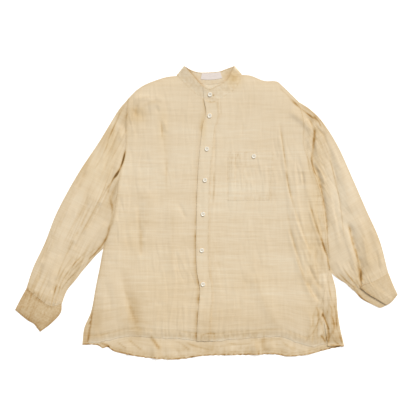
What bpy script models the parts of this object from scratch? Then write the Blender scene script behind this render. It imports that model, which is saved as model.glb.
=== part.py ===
"""A band-collar shirt laid flat with its front up, wearer's right on -X."""

import math
from collections import namedtuple

import bmesh
import bpy
import numpy as np

NAME = "mandarin_collar_shirt"
MM = 0.001

# Driving sizes, in millimetres.
CLOTH = 1.2
GAP = 0.3
STEP = CLOTH + GAP
LABEL = 1.0
PLACKET_WIDTH = 34.0
VENT_OPENING = 11.5
VENT_TOP = -261.0
PUFF = 3.6
PUFF_REACH = 15.0
COLLAR_RISE = 7.0
COLLAR_GAP = 0.35
BUTTON_RADIUS = 5.8
BUTTON_HEIGHT = 2.4
BUTTON_HOLE = 0.85
BUTTON_HOLE_AT = 1.45
EDGE_ROUND = 0.7
EDGE_WALL = 1.3

# Cells of the cloth grids.
LOW = 11
HIGH = 18
ACROSS = 21
TAIL = 3
SLEEVE = 20
CUFF = 4
WRAP = 3
SHOULDER = 8
NECK_COLUMNS = 9

Spot = namedtuple("Spot", "x y")
Level = namedtuple("Level", "y front_r back_r edge front_l back_l")
Ends = namedtuple("Ends", "out_x out_y in_x in_y")
Band = namedtuple("Band", "seam_x seam_y end_x end_y")
Fold = namedtuple("Fold", "x0 y0 x1 y1 x2 y2 width height lean")
Ripple = namedtuple("Ripple", "x width height")
Gather = namedtuple("Gather", "at height length")
Button = namedtuple("Button", "name x y on")

# The body from the hem up: both sides of the front and back, and the front's free edge.
BODY = (
    Level(-341, -308.0, -321.0, -25.0, 313.5, 357.5),
    Level(-300, -302.5, -315.0, -24.0, 307.0, 346.5),
    Level(-256, -296.0, -297.0, -21.0, 301.0, 340.0),
    Level(-200, -286.5, -286.5, -17.0, 307.0, 335.5),
    Level(-150, -277.0, -277.0, -25.0, 318.5, 323.5),
    Level(-84, -265.0, -259.0, -27.0, 313.0, 313.0),
    Level(-25, -244.0, -237.0, -26.0, 308.0, 308.0),
    Level(32, -233.0, -222.0, -25.0, 302.0, 302.0),
    Level(82, -227.5, -216.0, -23.0, 287.0, 287.0),
    Level(131, -216.5, -209.0, -20.0, 268.0, 268.0),
    Level(176, -209.0, -205.0, -15.5, 254.0, 254.0),
    Level(235, -208.5, -207.5, -2.0, 254.0, 254.0),
    Level(290, -202.5, -202.5, -6.5, 235.0, 235.0),
)
ARMPIT_R = -84
ARMPIT_L = -150
ARMPIT_EDGE = -117

FRONT_HEM = (
    Spot(-308, -338),
    Spot(-282, -338),
    Spot(-251, -331),
    Spot(-220, -324),
    Spot(-190, -321),
    Spot(-142, -325),
    Spot(-61, -329),
    Spot(-25, -333),
    Spot(25, -334),
    Spot(74, -329),
    Spot(144, -324),
    Spot(194, -323),
    Spot(238, -338),
    Spot(274, -348),
    Spot(313.5, -340),
)
BACK_HEM = (
    Spot(-321, -344),
    Spot(-298, -345),
    Spot(-275, -351),
    Spot(-255, -348),
    Spot(-235, -361),
    Spot(-206, -367),
    Spot(-168, -375),
    Spot(-99, -382),
    Spot(-56, -378),
    Spot(-19, -370),
    Spot(35, -368),
    Spot(124, -370),
    Spot(170, -368),
    Spot(216, -374),
    Spot(262, -369),
    Spot(300, -358),
    Spot(330, -352),
    Spot(357.5, -348),
)
SHOULDER_R = (
    Spot(-202.5, 290.5),
    Spot(-178, 315),
    Spot(-152, 331),
    Spot(-108, 348),
    Spot(-77, 355),
)
SHOULDER_L = (
    Spot(91, 358),
    Spot(116, 355),
    Spot(150, 342),
    Spot(180, 341),
    Spot(197, 329),
    Spot(235, 286),
)
NECK_FRONT = (
    Spot(-77, 355),
    Spot(-57, 333),
    Spot(-36, 313),
    Spot(-10, 295.5),
    Spot(5, 287),
    Spot(18, 285),
    Spot(32, 291),
    Spot(52, 303),
    Spot(72, 318),
    Spot(86, 335),
    Spot(91, 358),
)
NECK_BACK = (
    Spot(-77, 355),
    Spot(-45, 341),
    Spot(8, 331),
    Spot(60, 341),
    Spot(91, 358),
)
BACK_NECK_X = (-77, -52, -31, -14, 4, 22, 40, 65, 91)
LABEL_COLUMNS = (3, 6)

# The collar's free edge: the lapped ends, then either side up to its peak, and the back.
EDGE_LAP = (Spot(-9, 326.5), Spot(8, 321), Spot(26, 328))
EDGE_RIGHT = (Spot(-9, 326.5), Spot(-19.5, 336.7), Spot(-35.6, 355), Spot(-57.5, 380.6))
EDGE_LEFT = (Spot(26, 328), Spot(38, 333.5), Spot(52, 344.5), Spot(63, 362), Spot(72, 380.5))
EDGE_BACK = (
    Spot(-57.5, 380.6),
    Spot(-43, 372),
    Spot(-25, 365.5),
    Spot(-4, 364),
    Spot(32, 366.6),
    Spot(48, 372),
    Spot(72, 380.5),
)
COLLAR_ROWS = (0.0, 0.14, 0.42, 0.68, 0.94, 1.0)

# Sleeves from armhole to cuff, outer fold and inner fold.
SLEEVE_R = (
    Ends(-202.5, 290.5, -259, -84),
    Ends(-229, 259, -271, -95),
    Ends(-277, 186, -289, -110),
    Ends(-336, 100, -307, -129),
    Ends(-387, 3, -326, -150),
    Ends(-420, -80, -344, -173),
    Ends(-446, -141, -365, -199),
    Ends(-465, -196, -377, -233),
)
SLEEVE_L = (
    Ends(235, 286, 323.5, -146),
    Ends(268, 265, 328, -155),
    Ends(303, 234, 334, -163),
    Ends(342, 172, 343, -171),
    Ends(381, 86, 353, -178),
    Ends(415, 8, 364, -185.5),
    Ends(448, -72, 376, -195),
    Ends(471, -158, 387, -205.5),
)
# Cuffs from inner fold to outer fold, seam and free end.
CUFF_R = (
    Band(-377, -233, -432, -308),
    Band(-394, -240, -441, -297),
    Band(-410, -240, -449, -287),
    Band(-438, -220, -466, -274),
    Band(-465, -196, -495, -251),
)
CUFF_L = (
    Band(387, -205.5, 441, -242),
    Band(399, -195, 452, -247.5),
    Band(412, -187, 469, -240),
    Band(438, -177, 483, -230),
    Band(471, -158, 497, -213),
)
CUFF_R_SIDE = (Spot(-377, -233), Spot(-378, -260), Spot(-403, -286), Spot(-432, -308))
CUFF_L_SIDE = (Spot(387, -205.5), Spot(403, -221), Spot(423, -232), Spot(441, -242))
CUFF_R_OUTER = (Spot(-465, -196), Spot(-480, -223), Spot(-495, -251))
CUFF_L_OUTER = (Spot(471, -158), Spot(485, -187), Spot(497, -213))
CUFF_LAP_SEAM = 0.17
CUFF_LAP_END = 0.42
CUFF_LAP_UNDER = 0.22

POCKET = (Spot(53, 31), Spot(165, 32), Spot(176, 157), Spot(56, 157))
POCKET_COLUMNS = (3, 12)
POCKET_ROWS = (6, 12)

BUTTONS = (
    Button("button_collar", 9, 306, "collar"),
    Button("button_1", 8, 251, "placket"),
    Button("button_2", 1, 165, "placket"),
    Button("button_3", -4, 84, "placket"),
    Button("button_4", -9, -4, "placket"),
    Button("button_5", -12, -98, "placket"),
    Button("button_6", -9, -186, "placket"),
    Button("button_pocket", 123, 146, "pocket"),
)

# Raised and sunken folds of the upper layer; lean moves the steep side over.
FOLDS = (
    Fold(196, 238, 212, 45, 262, -190, 11, 3.2, 0.4),
    Fold(206, -9, 236, -125, 284, -250, 12, 4.0, 0.4),
    Fold(228, 160, 238, 20, 272, -130, 9, 3.0, -0.3),
    Fold(247, 170, 262, 50, 304, -105, 10, 4.6, 0.4),
    Fold(278, 30, 295, -75, 310, -165, 9, 3.6, -0.4),
    Fold(256, -70, 282, -160, 300, -245, 9, 3.0, 0.3),
    Fold(262, 150, 300, 55, 312, -80, 8, -2.6, 0.0),
    Fold(298, 238, 292, 140, 314, 20, 12, 4.2, 0.3),
    Fold(236, 283, 262, 268, 294, 242, 8, -3.0, 0.0),
    Fold(212, 262, 246, 240, 280, 200, 13, 4.0, 0.3),
    Fold(322, -190, 322, -260, 330, -330, 9, 3.0, 0.0),
    Fold(120, -150, 150, -230, 190, -310, 18, 2.0, 0.2),
    Fold(-182, 258, -150, 282, -106, 292, 16, 2.2, 0.0),
    Fold(-116, 232, -108, 165, -105, 95, 11, -1.8, 0.3),
    Fold(-173, -20, -170, -70, -163, -115, 10, -2.0, 0.3),
    Fold(-92, 40, -86, -60, -98, -170, 20, 1.8, 0.0),
    Fold(-225, -140, -200, -235, -166, -308, 12, -2.8, 0.3),
    Fold(-250, -150, -228, -240, -202, -312, 16, 3.6, 0.3),
    Fold(-222, 150, -232, 40, -250, -60, 15, 2.6, 0.0),
    Fold(-150, 60, -160, -30, -196, -150, 18, 1.8, 0.2),
    Fold(-225, 262, -256, 190, -292, 118, 9, -3.0, 0.2),
    Fold(-216, 224, -242, 150, -268, 70, 13, 3.6, 0.3),
    Fold(-272, 60, -320, -20, -374, -122, 14, 4.0, 0.3),
    Fold(-258, -20, -300, -78, -362, -168, 10, 4.6, 0.4),
    Fold(-342, 56, -392, -60, -432, -168, 16, 3.0, -0.3),
    Fold(-300, 118, -348, 36, -392, -66, 10, -2.2, 0.0),
    Fold(-322, -112, -355, -165, -384, -222, 8, 3.8, 0.3),
    Fold(318, 165, 330, 100, 342, 40, 9, -3.0, 0.0),
    Fold(343, 150, 362, 60, 380, -10, 15, 3.4, 0.3),
    Fold(300, 90, 330, -20, 352, -112, 11, 4.0, 0.3),
    Fold(340, -20, 366, -100, 388, -180, 12, 4.8, 0.5),
    Fold(362, -18, 387, -90, 398, -188, 8, -3.4, 0.0),
    Fold(387, 0, 414, -80, 425, -158, 14, 3.4, -0.3),
    Fold(430, -20, 448, -90, 455, -148, 12, 2.4, 0.0),
)

# Waves of the back's tail where it shows below the front.
RIPPLES = (
    Ripple(-262, 10, 1.6),
    Ripple(-206, 12, 2.0),
    Ripple(-132, 11, 4.0),
    Ripple(-96, 14, 2.0),
    Ripple(-30, 15, 1.5),
    Ripple(58, 16, 2.0),
    Ripple(128, 11, 4.4),
    Ripple(168, 10, 2.8),
    Ripple(215, 12, 2.2),
    Ripple(262, 11, 2.6),
)

# Fullness taken into the cuffs; the place is counted from the inner fold.
GATHERS_R = (
    Gather(0.11, 3.0, 55),
    Gather(0.22, 2.6, 70),
    Gather(0.33, 3.2, 60),
    Gather(0.44, 1.8, 40),
    Gather(0.61, 1.4, 34),
    Gather(0.78, 1.6, 30),
)
GATHERS_L = (
    Gather(0.17, 2.8, 44),
    Gather(0.28, 3.2, 60),
    Gather(0.44, 2.2, 48),
    Gather(0.61, 1.6, 34),
    Gather(0.78, 1.4, 30),
)

CLOTH_COLOR = (0.76, 0.62, 0.42)
CUFF_COLOR = (0.64, 0.49, 0.31)
LABEL_COLOR = (0.88, 0.80, 0.74)
BUTTON_COLOR = (0.90, 0.85, 0.76)


def smoothstep(value):
    part = np.clip(value, 0.0, 1.0)
    return part * part * (3.0 - 2.0 * part)


class Line:
    """A smooth plane curve through spots, read by its share of length."""

    def __init__(self, spots, pieces=16):
        p = np.array([(s[0], s[1]) for s in spots], dtype=float)
        before = np.vstack([2 * p[0] - p[1], p[:-1]])
        after = np.vstack([p[1:], 2 * p[-1] - p[-2]])
        t = np.linspace(0.0, 1.0, pieces, endpoint=False)[:, None]
        runs = []
        for i in range(len(p) - 1):
            start = 0.5 * (after[i] - before[i])
            end = 0.5 * (after[i + 1] - before[i + 1])
            runs.append(
                (2 * t**3 - 3 * t**2 + 1) * p[i]
                + (t**3 - 2 * t**2 + t) * start
                + (3 * t**2 - 2 * t**3) * p[i + 1]
                + (t**3 - t**2) * end
            )
        self.points = np.vstack([*runs, p[-1:]])
        steps = np.linalg.norm(np.diff(self.points, axis=0), axis=1)
        self.length = steps.sum()
        self.share = np.concatenate([[0.0], np.cumsum(steps)]) / self.length

    def at(self, share):
        x = np.interp(share, self.share, self.points[:, 0])
        y = np.interp(share, self.share, self.points[:, 1])
        return np.stack([x, y], axis=-1)

    def run(self, start, end, cells):
        return self.at(np.linspace(start, end, cells + 1))

    def share_at_x(self, x):
        return float(np.interp(x, self.points[:, 0], self.share))

    def share_at_y(self, y):
        return float(np.interp(y, self.points[:, 1], self.share))

    def y_at(self, x):
        return np.interp(x, self.points[:, 0], self.points[:, 1])


def split_run(line, share, low, high):
    """Points along a line, with a knot at the given share."""
    lower = line.run(0.0, share, low)
    upper = line.run(share, 1.0, high)
    return np.vstack([lower, upper[1:]])


def coons(bottom, top, left, right):
    """Rows of points filling the patch between four runs of points."""
    u = np.linspace(0.0, 1.0, len(bottom))[None, :, None]
    v = np.linspace(0.0, 1.0, len(left))[:, None, None]
    rows = (1 - v) * bottom[None] + v * top[None]
    columns = (1 - u) * left[:, None] + u * right[:, None]
    corners = (1 - v) * ((1 - u) * bottom[0] + u * bottom[-1])
    corners = corners + v * ((1 - u) * top[0] + u * top[-1])
    return rows + columns - corners


FRONT_HEM_LINE = Line(FRONT_HEM)
BACK_HEM_LINE = Line(BACK_HEM)
SHOULDER_R_LINE = Line(SHOULDER_R)
SHOULDER_L_LINE = Line(SHOULDER_L)
NECK_LINE = Line(NECK_FRONT)
BACK_NECK_LINE = Line(NECK_BACK)


def body_line(column, first, last):
    """One upright line of the body, with its ends moved to the given spots."""
    spots = [Spot(getattr(level, column), level.y) for level in BODY]
    spots[0] = first
    spots[-1] = last
    return Line(spots)


def on_line(line, x):
    return Spot(x, float(line.y_at(x)))


EDGE_LINE = body_line("edge", on_line(FRONT_HEM_LINE, -25.0), on_line(NECK_LINE, -6.5))
FRONT_R_LINE = body_line("front_r", FRONT_HEM[0], SHOULDER_R[0])
BACK_R_LINE = body_line("back_r", Spot(-320.5, -340), SHOULDER_R[0])
FRONT_L_LINE = body_line("front_l", FRONT_HEM[-1], SHOULDER_L[-1])
BACK_L_LINE = body_line("back_l", Spot(357, -341), SHOULDER_L[-1])


def upright(line, knot):
    return split_run(line, line.share_at_y(knot), LOW, HIGH)


EDGE_RUN = upright(EDGE_LINE, ARMPIT_EDGE)
FRONT_R_RUN = upright(FRONT_R_LINE, ARMPIT_R)
BACK_R_RUN = upright(BACK_R_LINE, ARMPIT_R)
FRONT_L_RUN = upright(FRONT_L_LINE, ARMPIT_L)
BACK_L_RUN = upright(BACK_L_LINE, ARMPIT_L)
BACK_L_RUN[LOW + 1 :] = FRONT_L_RUN[LOW + 1 :]


def placket_run(part):
    """The front edge's rows moved across by a share of the placket."""
    run = EDGE_RUN.copy()
    run[:, 0] += part * PLACKET_WIDTH
    hem = FRONT_HEM_LINE.y_at(run[0, 0])
    neck = NECK_LINE.y_at(run[-1, 0])
    share = np.linspace(0.0, 1.0, len(run))
    run[:, 1] += (1 - share) ** 4 * (hem - run[0, 1]) + share**4 * (neck - run[-1, 1])
    return run


PLACKET_RUNS = [placket_run(part) for part in (0.0, 0.5, 1.0)]

SLEEVE_R_OUT = Line([Spot(e.out_x, e.out_y) for e in SLEEVE_R])
SLEEVE_R_IN = Line([Spot(e.in_x, e.in_y) for e in SLEEVE_R])
SLEEVE_L_OUT = Line([Spot(e.out_x, e.out_y) for e in SLEEVE_L])
SLEEVE_L_IN = Line([Spot(e.in_x, e.in_y) for e in SLEEVE_L])
CUFF_R_SEAM = Line([Spot(b.seam_x, b.seam_y) for b in CUFF_R])
CUFF_R_END = Line([Spot(b.end_x, b.end_y) for b in CUFF_R])
CUFF_L_SEAM = Line([Spot(b.seam_x, b.seam_y) for b in CUFF_L])
CUFF_L_END = Line([Spot(b.end_x, b.end_y) for b in CUFF_L])
CUFF_R_SIDE_LINE = Line(CUFF_R_SIDE)
CUFF_L_SIDE_LINE = Line(CUFF_L_SIDE)
CUFF_R_OUTER_LINE = Line(CUFF_R_OUTER)
CUFF_L_OUTER_LINE = Line(CUFF_L_OUTER)

OUTLINE = (
    FRONT_HEM_LINE.run(0, 1, 60),
    FRONT_R_RUN[: LOW + 1],
    SLEEVE_R_IN.run(0, 1, 16),
    CUFF_R_SIDE_LINE.run(0, 1, 8),
    CUFF_R_END.run(0, 1, 8),
    CUFF_R_OUTER_LINE.run(0, 1, 4),
    SLEEVE_R_OUT.run(0, 1, 30),
    SHOULDER_R_LINE.run(0, 1, 10),
    SHOULDER_L_LINE.run(0, 1, 14),
    SLEEVE_L_OUT.run(0, 1, 30),
    CUFF_L_OUTER_LINE.run(0, 1, 4),
    CUFF_L_END.run(0, 1, 8),
    CUFF_L_SIDE_LINE.run(0, 1, 8),
    SLEEVE_L_IN.run(0, 1, 16),
    BACK_L_RUN[: LOW + 1],
    np.array([FRONT_HEM[-1], (357.0, -341.0)]),
)


def nearest(points, run):
    """Distance to a run of points, its signed side and the share of length there."""
    start = run[:-1]
    step = run[1:] - start
    size = np.sum(step**2, axis=1)
    away = points[:, None] - start[None]
    along = np.clip(np.sum(away * step[None], axis=2) / size, 0.0, 1.0)
    off = away - along[..., None] * step[None]
    distance = np.linalg.norm(off, axis=2)
    best = np.argmin(distance, axis=1)
    rows = np.arange(len(points))
    cross = step[best, 0] * off[rows, best, 1] - step[best, 1] * off[rows, best, 0]
    share = (best + along[rows, best]) / len(start)
    return distance[rows, best], np.sign(cross), share


def fold_height(points):
    """Sum of the folds at the points."""
    total = np.zeros(len(points))
    t = np.linspace(0.0, 1.0, 13)[:, None]
    for fold in FOLDS:
        a = np.array([fold.x0, fold.y0])
        b = np.array([fold.x1, fold.y1])
        c = np.array([fold.x2, fold.y2])
        middle = 2 * b - 0.5 * (a + c)
        run = (1 - t) ** 2 * a + 2 * t * (1 - t) * middle + t**2 * c
        distance, side, share = nearest(points, run)
        width = fold.width * (1.0 + fold.lean * side)
        ends = smoothstep(share / 0.22) * smoothstep((1.0 - share) / 0.22)
        total += fold.height * ends * np.exp(-((distance / width) ** 2))
    return total


def under(grid):
    """Height of the upper layer's underside over the table."""
    points = grid.reshape(-1, 2)
    edge = np.full(len(points), 1e9)
    for run in OUTLINE:
        edge = np.minimum(edge, nearest(points, run)[0])
    air = PUFF * (1.0 - np.exp(-edge / PUFF_REACH))
    air += fold_height(points) * (1.0 - np.exp(-((edge / 11.0) ** 2)))
    return (STEP + np.maximum(air, 0.0)).reshape(grid.shape[:-1])


def lifted(grid, height):
    """Plane points with their heights."""
    return np.concatenate([grid, height[..., None]], axis=-1)


def shell(name, outer, inner, color, wrap=False, keep=None, rough=0.85):
    """A closed solid between two grids of points with the same rows and columns."""
    rows, columns = outer.shape[:2]
    mesh = bmesh.new()
    bmesh.ops.create_grid(mesh, x_segments=columns - 1, y_segments=rows - 1, size=1.0)
    mesh.verts.ensure_lookup_table()
    place = mesh.verts.layers.int.new("place")
    outside = outer.reshape(-1, 3) * MM
    inside = inner.reshape(-1, 3) * MM
    for vert, co in zip(mesh.verts, outside):
        vert[place] = vert.index
        vert.co = co
    if keep is not None:
        mesh.faces.ensure_lookup_table()
        cut = [face for face, kept in zip(mesh.faces, keep.ravel()) if not kept]
        bmesh.ops.delete(mesh, geom=cut, context="FACES")
    if wrap:
        bmesh.ops.remove_doubles(mesh, verts=mesh.verts, dist=1e-7)
    bmesh.ops.triangulate(mesh, faces=mesh.faces, quad_method="FIXED")
    grown = bmesh.ops.extrude_face_region(mesh, geom=mesh.faces[:], use_keep_orig=True)
    for item in grown["geom"]:
        if isinstance(item, bmesh.types.BMVert):
            item.co = inside[item[place]]
    bmesh.ops.recalc_face_normals(mesh, faces=mesh.faces)
    mesh.verts.layers.int.remove(place)
    return finish(name, mesh, color, rough)


def finish(name, mesh, color, rough):
    data = bpy.data.meshes.new(name)
    mesh.to_mesh(data)
    mesh.free()
    material = bpy.data.materials.new(name)
    material.use_nodes = True
    shader = material.node_tree.nodes["Principled BSDF"]
    shader.inputs["Base Color"].default_value = (*color, 1.0)
    shader.inputs["Roughness"].default_value = rough
    data.materials.append(material)
    made = bpy.data.objects.new(name, data)
    PARTS.objects.link(made)
    return made


def side_lift(grid):
    """How far the right front stands over the sleeve it laps."""
    rows = np.arange(len(grid))
    share = np.zeros(len(grid))
    share[(rows > LOW - 2) & (rows < LOW + HIGH)] = 1.0
    share[LOW - 1] = 0.6
    reach = grid[:, :, 0] - grid[:, :1, 0]
    return 2.8 * share[:, None] * (1.0 - smoothstep((reach - 15.0) / 26.0))


def front_right():
    """Right front: side to free edge, then the strip under the placket."""
    edge = PLACKET_RUNS[0]
    hem = FRONT_HEM_LINE.run(0.0, FRONT_HEM_LINE.share_at_x(edge[0, 0]), ACROSS)
    neck = NECK_LINE.run(0.0, NECK_LINE.share_at_x(edge[-1, 0]), NECK_COLUMNS)
    shoulder = SHOULDER_R_LINE.run(0.0, 1.0, ACROSS - NECK_COLUMNS)
    top = np.vstack([shoulder[:-1], neck])
    grid = coons(hem, top, FRONT_R_RUN, edge)
    grid = np.concatenate([grid, np.stack(PLACKET_RUNS[1:], axis=1)], axis=1)
    return grid, under(grid) + side_lift(grid)


def pocket_warp(grid):
    """Moves the panel's grid so that the pocket's edges run along its lines."""
    c0, c1 = POCKET_COLUMNS
    r0, r1 = POCKET_ROWS
    r0 += LOW
    r1 += LOW
    corner = [np.array(spot, dtype=float) for spot in POCKET]
    u = np.linspace(0.0, 1.0, c1 - c0 + 1)[None, :, None]
    v = np.linspace(0.0, 1.0, r1 - r0 + 1)[:, None, None]
    aim = (1 - v) * ((1 - u) * corner[0] + u * corner[1])
    aim = aim + v * ((1 - u) * corner[3] + u * corner[2])
    move = aim - grid[r0 : r1 + 1, c0 : c1 + 1]
    rows = np.arange(grid.shape[0])
    columns = np.arange(grid.shape[1])
    row = np.clip(rows, r0, r1) - r0
    column = np.clip(columns, c0, c1) - c0
    last_row = grid.shape[0] - 1
    last_column = grid.shape[1] - 1
    down = np.where(rows < r0, rows / r0, 1.0)
    up = np.where(rows > r1, (last_row - rows) / (last_row - r1), 1.0)
    left = np.where(columns < c0, columns / c0, 1.0)
    right = np.where(columns > c1, (last_column - columns) / (last_column - c1), 1.0)
    fade = (down * up)[:, None] * (left * right)[None, :]
    return grid + move[row][:, column] * fade[..., None]


def front_left():
    """Left front: the placket's strip, then from its seam to the side."""
    seam = PLACKET_RUNS[2]
    hem = FRONT_HEM_LINE.run(FRONT_HEM_LINE.share_at_x(seam[0, 0]), 1.0, ACROSS)
    neck = NECK_LINE.run(NECK_LINE.share_at_x(seam[-1, 0]), 1.0, NECK_COLUMNS)
    shoulder = SHOULDER_L_LINE.run(0.0, 1.0, ACROSS - NECK_COLUMNS)
    top = np.vstack([neck[:-1], shoulder])
    grid = pocket_warp(coons(hem, top, seam, FRONT_L_RUN))
    lift = STEP * (1.0 - smoothstep((grid[:, :, 0] - seam[:, None, 0]) / 30.0))
    strip = np.stack(PLACKET_RUNS[:2], axis=1)
    lift = np.concatenate([np.full(strip.shape[:2], STEP), lift], axis=1)
    grid = np.concatenate([strip, grid], axis=1)
    return grid, under(grid) + lift


def ripple_height(points, front_hem):
    """Waves of the tail, none where the front lies on it."""
    rise = np.zeros(points.shape[:-1])
    for ripple in RIPPLES:
        rise += ripple.height * np.exp(-(((points[..., 0] - ripple.x) / ripple.width) ** 2))
    return rise * smoothstep((front_hem - points[..., 1]) / 26.0)


def back_plan():
    """Plane points of the back, its tail's rows first."""
    count = 3 * SHOULDER
    x = np.linspace(-320.5, 357.0, count + 1)
    x[1:-1] += 6.0 * np.sin(np.linspace(0, math.pi, count - 1))
    line_y = FRONT_HEM_LINE.y_at(np.clip(x, -308, 313.5)) - 4.0
    line_y[0] = BACK_R_RUN[0, 1]
    line_y[-1] = BACK_L_RUN[0, 1]
    bottom = np.stack([x, line_y], axis=-1)
    neck = BACK_NECK_LINE.at([BACK_NECK_LINE.share_at_x(v) for v in BACK_NECK_X])
    top = np.vstack(
        [
            SHOULDER_R_LINE.run(0.0, 1.0, SHOULDER)[:-1],
            neck,
            SHOULDER_L_LINE.run(0.0, 1.0, SHOULDER)[1:],
        ]
    )
    main = coons(bottom, top, BACK_R_RUN, BACK_L_RUN)
    hem_x = x.copy()
    hem_x[0] = BACK_HEM[0].x
    hem_x[-1] = BACK_HEM[-1].x
    hem = np.stack([hem_x, BACK_HEM_LINE.y_at(hem_x)], axis=-1)
    t = np.linspace(0.0, 1.0, TAIL, endpoint=False)[:, None, None]
    tail = (1 - t) * hem[None] + t * bottom[None]
    grid = np.vstack([tail, main])
    height = ripple_height(grid, bottom[None, :, 1])
    height[TAIL:] = 0.0
    return grid, height


def back():
    """Back panel; left of the wearer it folds round the side onto the front."""
    grid, height = back_plan()
    rows = len(grid)
    side = grid[:, -1]
    vent = VENT_OPENING * np.clip((VENT_TOP - FRONT_L_RUN[:, 1]) / 79.0, 0.0, 1.0)
    seam = FRONT_L_RUN + np.stack([GAP + vent, np.zeros(len(vent))], axis=-1)
    tail = seam[:1] + (side[:TAIL] - side[TAIL]) * np.array([0.2, 1.0])
    seam = np.vstack([tail, seam])
    wrapped = np.arange(rows) <= TAIL + LOW
    inward = np.where(wrapped, -1.0, 0.0)[:, None] * np.array([1.0, 0.0])
    parts = np.linspace(0.0, 1.0, WRAP + 1)
    start = side + EDGE_ROUND * inward
    plan = [(1 - p) * start + p * seam for p in parts]
    strip = np.stack(plan, axis=1)
    strip_height = under(strip)
    wall = under(side[:, None])[:, 0]
    outer = [lifted(grid, height)]
    inner = [lifted(grid, height + CLOTH)]
    outer[0][:, -1, :2] += EDGE_ROUND * inward
    inner[0][:, -1, :2] += EDGE_WALL * inward
    for share in (0.3, 0.75):
        outer.append(lifted(side, share * (wall + CLOTH))[:, None])
        rise = CLOTH + share * (wall - CLOTH)
        inner.append(lifted(side + EDGE_WALL * inward, rise)[:, None])
    outer.append(lifted(strip, strip_height + CLOTH))
    low = lifted(strip, strip_height)
    low[:, 0, :2] = side + EDGE_WALL * inward
    inner.append(low)
    outer = np.concatenate(outer, axis=1)
    inner = np.concatenate(inner, axis=1)
    keep = np.ones((rows - 1, outer.shape[1] - 1), dtype=bool)
    keep[TAIL + LOW :, grid.shape[1] - 1 :] = False
    shell("back", outer, inner, CLOTH_COLOR, keep=keep)
    return grid


def tube(name, plan, height, color):
    """A flattened tube: plan's rows run along it, its columns from fold to fold."""
    low_side = plan[:, 1] - plan[:, 0]
    low_side /= np.linalg.norm(low_side, axis=1)[:, None]
    high_side = plan[:, -2] - plan[:, -1]
    high_side /= np.linalg.norm(high_side, axis=1)[:, None]

    def drawn_in(amount):
        moved = plan.copy()
        moved[:, 0] += amount * low_side
        moved[:, -1] += amount * high_side
        return moved

    out_plan = drawn_in(EDGE_ROUND)
    in_plan = drawn_in(EDGE_WALL)
    flat = np.zeros(height.shape)
    outer = [lifted(out_plan, flat)]
    inner = [lifted(in_plan, flat + CLOTH)]
    for column, shares in ((-1, (0.3, 0.75)), (0, (0.75, 0.3))):
        wall = height[:, column]
        if column == 0:
            outer.append(lifted(out_plan, height + CLOTH)[:, ::-1])
            inner.append(lifted(in_plan, height)[:, ::-1])
        for share in shares:
            outer.append(lifted(plan[:, column], share * (wall + CLOTH))[:, None])
            rise = CLOTH + share * (wall - CLOTH)
            inner.append(lifted(in_plan[:, column], rise)[:, None])
    outer.append(outer[0][:, :1])
    inner.append(inner[0][:, :1])
    shell(name, np.concatenate(outer, axis=1), np.concatenate(inner, axis=1), color, wrap=True)


def gather_height(plan, gathers):
    """Short pleats that rise just above the cuff's seam."""
    to_seam = np.linalg.norm(plan[-1:] - plan, axis=-1)
    across = np.linspace(0.0, 1.0, plan.shape[1])[None, :]
    rise = np.zeros(plan.shape[:-1])
    for gather in gathers:
        ridge = np.exp(-(((across - gather.at) / 0.035) ** 2))
        fade = smoothstep(to_seam / 9.0) * (1.0 - smoothstep(to_seam / gather.length))
        rise += gather.height * ridge * fade
    return rise


def sleeve(name, armhole, out_line, in_line, seam, aside, gathers):
    start = armhole + np.array([aside, 0.0])
    end = seam.run(0.0, 1.0, len(start) - 1)
    inner = in_line.run(0.0, 1.0, SLEEVE)
    outer = out_line.run(0.0, 1.0, SLEEVE)
    inner[0] = start[0]
    outer[0] = start[-1]
    plan = coons(start, end, inner, outer)
    height = under(plan) + gather_height(plan, gathers)
    tube(name, plan, height, CLOTH_COLOR)


def cuff_plan(seam, end, side, outer):
    plan = coons(
        seam.run(0.0, 1.0, HIGH),
        end.run(0.0, 1.0, HIGH),
        side.run(0.0, 1.0, CUFF),
        outer.run(0.0, 1.0, CUFF),
    )
    way = plan[1] - plan[0]
    plan[0] += 0.36 * way / np.linalg.norm(way, axis=1)[:, None]
    return plan


def cuff_right():
    plan = cuff_plan(CUFF_R_SEAM, CUFF_R_END, CUFF_R_SIDE_LINE, CUFF_R_OUTER_LINE)
    tube("cuff_right", plan, under(plan), CUFF_COLOR)


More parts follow.
